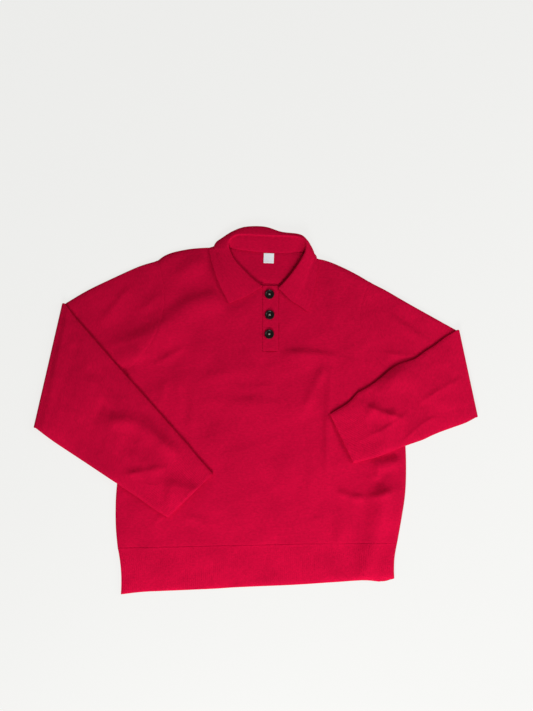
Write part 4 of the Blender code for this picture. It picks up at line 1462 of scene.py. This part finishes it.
@dataclass
class PlacketBand:
    """One band of the placket: a narrow strip. The one on top is sewn down, and dips at three edges.

    Each dip has its depth and its half width. Across and down are steps, as ended takes them.
    """

    name: str
    height: float
    top_y: float
    sewn: bool
    swell: float = 0.2
    seam: tuple[float, float] = (0.3, 1.3)
    free: tuple[float, float] = (0.1, 1.4)
    foot: tuple[float, float] = (0.3, 1.8)
    across: tuple[int, int, float] = (22, 6, 0.12)
    down: tuple[int, int, float] = (50, 5, 0.03)

    def build(self, material: bpy.types.Material) -> bpy.types.Object:
        """Make the band: a flat grid, and for the sewn one bell-shaped dips at its edges, and ripples.

        Args:
            material: The ribbed wool.

        Returns:
            The band.
        """
        x = PLACKET_RIGHT_X + PLACKET_WIDTH * ended(*self.across)
        y = PLACKET_BOTTOM_Y + (self.top_y - PLACKET_BOTTOM_Y) * ended(*self.down)
        xy = np.stack(np.meshgrid(x, y), -1)
        z = np.full(xy.shape[:-1], self.height)
        if self.sewn:
            z = z + self.swell + ripples(xy, BAND_WAVES)
            for off, (dip, run) in ((xy[..., 0] - PLACKET_RIGHT_X, self.seam),
                                    (PLACKET_LEFT_X - xy[..., 0], self.free),
                                    (xy[..., 1] - PLACKET_BOTTOM_Y, self.foot)):
                z = z - dip * np.exp(-((off / run) ** 2))
        xyz = np.concatenate([xy, z[..., None]], -1)
        obj = make_cloth(self.name, xyz, xy, "wool_rib", material)
        return obj


@dataclass
class Button:
    """Turned four-hole button with a raised rim, and the thread that holds it on.

    Each of the two pairs of strands goes over the dish from hole to hole, a lane to either side; the
    second pair arches over the first.
    """

    name: str
    centre: tuple[float, float]
    radius: float = 9.0
    thick: float = 3.2
    dish: float = 1.2
    rings: int = 40
    spokes: int = 48
    base: float = OVER_BAND_Z + WALL / 2
    hole_radius: float = 0.9
    hole_pitch: float = 2.1
    strand: float = 0.33
    lane: float = 0.34
    sunk: float = 0.8
    arch: float = 1.15
    crossing: float = 0.25

    def profile(self) -> Array:
        """Half section from the middle of the underside round the rim to the middle of the dish.

        Returns:
            Distance from the middle and height, one row a point.
        """
        r, h = self.radius, self.thick
        return np.array([
            (0.001, 0.0), (r * 0.5, 0.0), (r - 1.6, 0.0), (r - 0.7, 0.35), (r - 0.15, 1.0), (r, 1.7),
            (r - 0.12, 2.4), (r - 0.55, 3.0), (r - 1.15, h), (r - 1.8, h - 0.15), (r - 2.4, h - 0.6),
            (r - 3.0, h - 1.0), (r - 4.2, h - 1.15), (r * 0.25, h - self.dish), (0.001, h - self.dish)])

    def build(self, plastic: bpy.types.Material, thread: bpy.types.Material) -> None:
        """Make the button, its profile turned about its middle, and its thread.

        Args:
            plastic: Finish of the button.
            thread: Finish of the thread.
        """
        profile = through(self.profile(), np.linspace(0, 1, self.rings))
        angle = np.linspace(0, 2 * math.pi, self.spokes, endpoint=False)
        r, z = np.maximum(profile[:, :1], 0.001), profile[:, 1:]
        xyz = np.stack(np.broadcast_arrays(self.centre[0] + r * np.cos(angle),
                                           self.centre[1] + r * np.sin(angle), self.base + z), -1)
        obj = grid_object(self.name + "_turned", xyz, tube_uv(xyz), closed=True)
        close_poles(obj)
        for k in range(4):
            turn = math.pi / 4 + k * math.pi / 2
            self.drill(obj, self.centre[0] + self.hole_pitch * math.cos(turn),
                       self.centre[1] + self.hole_pitch * math.sin(turn))
        settle(obj, "button_plastic", plastic, self.name)
        self.sew(thread)

    def drill(self, obj: bpy.types.Object, x: float, y: float) -> None:
        """Cut one sewing hole with a cylinder.

        Args:
            obj: The button.
            x: Where the hole is across the garment, in millimetres.
            y: Where the hole is along the garment, in millimetres.
        """
        bpy.ops.mesh.primitive_cylinder_add(vertices=16, radius=self.hole_radius * MM, depth=0.02,
                                            location=(x * MM, y * MM, self.base * MM))
        cut_away(obj, bpy.context.active_object)

    def sew(self, thread: bpy.types.Material) -> None:
        """Lay two pairs of strands crosswise over the dish: round rings along a sine's power, an arch.

        Args:
            thread: Finish of the thread.
        """
        t = np.linspace(0, 1, 15)
        angle = np.linspace(0, 2 * math.pi, 8, endpoint=False)
        section = np.stack([np.cos(angle), np.sin(angle)], -1) * self.strand
        reach = self.hole_pitch * (2 * t - 1)
        strands = [(pair, lane) for pair in range(2) for lane in (-self.lane, self.lane)]
        for index, (pair, lane) in enumerate(strands):
            turn = math.pi / 4 + pair * math.pi / 2
            along = np.array([math.cos(turn), math.sin(turn)])
            aside = np.array([-along[1], along[0]])
            plan = np.array(self.centre) + reach[:, None] * along + lane * aside
            rise = (self.base + self.thick - self.dish - self.sunk
                    + (self.arch + self.crossing * pair) * np.sin(math.pi * t) ** 0.4)
            ring = np.concatenate([plan[:, None, :] + section[None, :, :1] * aside,
                                   rise[:, None, None] + section[None, :, 1:]], -1)
            piece = grid_object(f"{self.name}_thread_{index + 1}", ring, tube_uv(ring), closed=True)
            close_poles(piece)
            settle(piece, "button_thread", thread)


def close_poles(obj: bpy.types.Object) -> None:
    """Close the open ends of a tube or turned shape with a face each, and turn its faces outwards.

    Args:
        obj: The piece.
    """
    work = bmesh.new()
    work.from_mesh(obj.data)
    bmesh.ops.remove_doubles(work, verts=work.verts, dist=0.00002)
    bmesh.ops.holes_fill(work, edges=[edge for edge in work.edges if edge.is_boundary], sides=0)
    bmesh.ops.recalc_face_normals(work, faces=work.faces)
    work.to_mesh(obj.data)
    work.free()
    obj.data.shade_smooth()


@dataclass
class NeckLabel:
    """Small blank woven label sewn inside the back neck, its lower edge lifting a little."""

    name: str = "neck_label"
    centre: tuple[float, float] = (24.3, 284.5)
    side: float = 19.5
    thick: float = 0.6
    clear: float = 0.1
    turn: float = math.radians(-2.0)
    curl: float = 0.9
    wave: float = 0.15
    count: int = 15

    def build(self, material: bpy.types.Material) -> bpy.types.Object:
        """Make the label: a square grid that bows up (a cube) to its lower edge, with one wave across.

        Args:
            material: The woven tape.

        Returns:
            The label.
        """
        t = np.linspace(-0.5, 0.5, self.count)
        grid = np.stack(np.meshgrid(t, t), -1)
        cos, sin = math.cos(self.turn), math.sin(self.turn)
        turn = np.array([[cos, sin], [-sin, cos]])
        xy = np.array(self.centre) + (grid * self.side) @ turn
        z = back_height(xy) + WALL / 2 + self.thick / 2 + self.clear
        z = z + self.curl * (0.5 - grid[..., 1]) ** 3 + self.wave * np.cos(math.pi * 2 * grid[..., 0])
        xyz = np.concatenate([xy, z[..., None]], -1)
        obj = grid_object(self.name + "_tape", xyz, grid * self.side)
        thicken(obj, self.thick, self.thick / 4)
        settle(obj, "label_cloth", material, self.name)
        return obj


# ---------------------------------------------------------------- studio

@dataclass(frozen=True)
class Lamp:
    """Square area light: where it stands and what it faces, its side in metres, its power in watts."""

    name: str
    place: tuple[float, float, float]
    aim: tuple[float, float, float]
    side: float
    power: float

    def build(self) -> None:
        """Add the light, turned to what it faces."""
        lamp = bpy.data.lights.new(self.name, "AREA")
        lamp.shape = "SQUARE"
        lamp.size = self.side
        lamp.energy = self.power
        obj = bpy.data.objects.new(self.name, lamp)
        obj.location = self.place
        obj.rotation_euler = facing(Vector(self.aim) - Vector(self.place))
        bpy.context.scene.collection.objects.link(obj)


def facing(direction: Vector) -> Euler:
    """Turn of a light or camera that looks along a direction, its top towards +Y."""
    return direction.to_track_quat("-Z", "Y").to_euler()


@dataclass
class Studio:
    """Pale floor, a soft key from beyond the hem, a weaker side light, and the camera overhead.

    Places and distances are in metres, the lens in millimetres, the elevation in degrees.
    """

    target: tuple[float, float, float] = (0.0200, 0.0981, 0.0)
    elevation: float = 84.0
    distance: float = 1.876
    lens: float = 50.0
    floor_side: float = 16.0
    floor_z: float = -0.05 * MM
    room: float = 0.26

    def floor(self) -> None:
        """Lay the floor, a hair under the garment."""
        t = np.linspace(-0.5, 0.5, 3)
        xy = np.stack(np.meshgrid(t, t), -1) * self.floor_side / MM
        xyz = np.concatenate([xy, np.full(xy.shape[:-1], self.floor_z / MM)[..., None]], -1)
        obj = grid_object(FLOOR, xyz, xy)
        obj.data.materials.append(StudioPaper().build())

    def lights(self) -> None:
        """Set the key, the side light and the even light of the room."""
        Lamp("key", (-0.10, -1.49, 0.92), (0.8, 0.3, 0.0), side=0.6, power=29.4).build()
        Lamp("side", (1.50, -0.10, 0.95), self.target, side=0.9, power=14.5).build()
        world = bpy.data.worlds.new("room")
        world.use_nodes = True
        plug(world.node_tree.nodes["Background"], Color=(1.0, 1.0, 1.0, 1.0), Strength=self.room)
        bpy.context.scene.world = world

    def camera(self) -> None:
        """Put the camera almost straight overhead, a little towards the hem."""
        data = bpy.data.cameras.new("overhead")
        data.lens = self.lens
        data.clip_start = 0.05
        tilt = math.radians(self.elevation)
        back = Vector((0.0, -math.cos(tilt), math.sin(tilt)))
        obj = bpy.data.objects.new("overhead", data)
        obj.location = Vector(self.target) + back * self.distance
        obj.rotation_euler = facing(-back)
        bpy.context.scene.collection.objects.link(obj)
        bpy.context.scene.camera = obj

    def build(self) -> None:
        """Set up the floor, the lights, the camera and a plain view of the colours."""
        self.floor()
        self.lights()
        self.camera()
        bpy.context.scene.view_settings.view_transform = "Standard"


def main() -> None:
    """Build every piece of the garment in order, then the studio."""
    logging.basicConfig(level=logging.INFO, format="%(name)s %(message)s")
    plain = KnittedWool("wool_plain").build()
    rib = KnittedWool("wool_rib", relief=0.4).build()
    plastic, thread, tape = ButtonPolyester().build(), SewingThread().build(), WovenTape().build()
    BodyPanel("back_panel", NECK_BACK, back_height, FLOOR, steps_up=(50, 30)).build(plain)
    cut_slot(BodyPanel("front_panel", NECK_FRONT, front_height, "back_panel").build(plain))
    HemRib("hem_rib_back", back_height, FLOOR, depth=0.0).build(rib)
    HemRib("hem_rib_front", front_height, "hem_rib_back").build(rib)
    Sleeve("sleeve_right", RIGHT_UPPER_ARM, RIGHT_FOREARM).build(plain)
    Sleeve("sleeve_left", LEFT_UPPER_ARM, LEFT_FOREARM).build(plain)
    Cuff("cuff_right", RIGHT_CUFF).build(rib)
    Cuff("cuff_left", LEFT_CUFF).build(rib)
    Collar().build(rib)
    PlacketBand("placket_under", UNDER_BAND_Z, UNDER_BAND_TOP_Y, sewn=False).build(rib)
    PlacketBand("placket_over", OVER_BAND_Z, OVER_BAND_TOP_Y, sewn=True).build(rib)
    for name, centre in BUTTONS.items():
        Button(name, centre).build(plastic, thread)
    NeckLabel().build(tape)
    Studio().build()


if __name__ == "__main__":
    main()
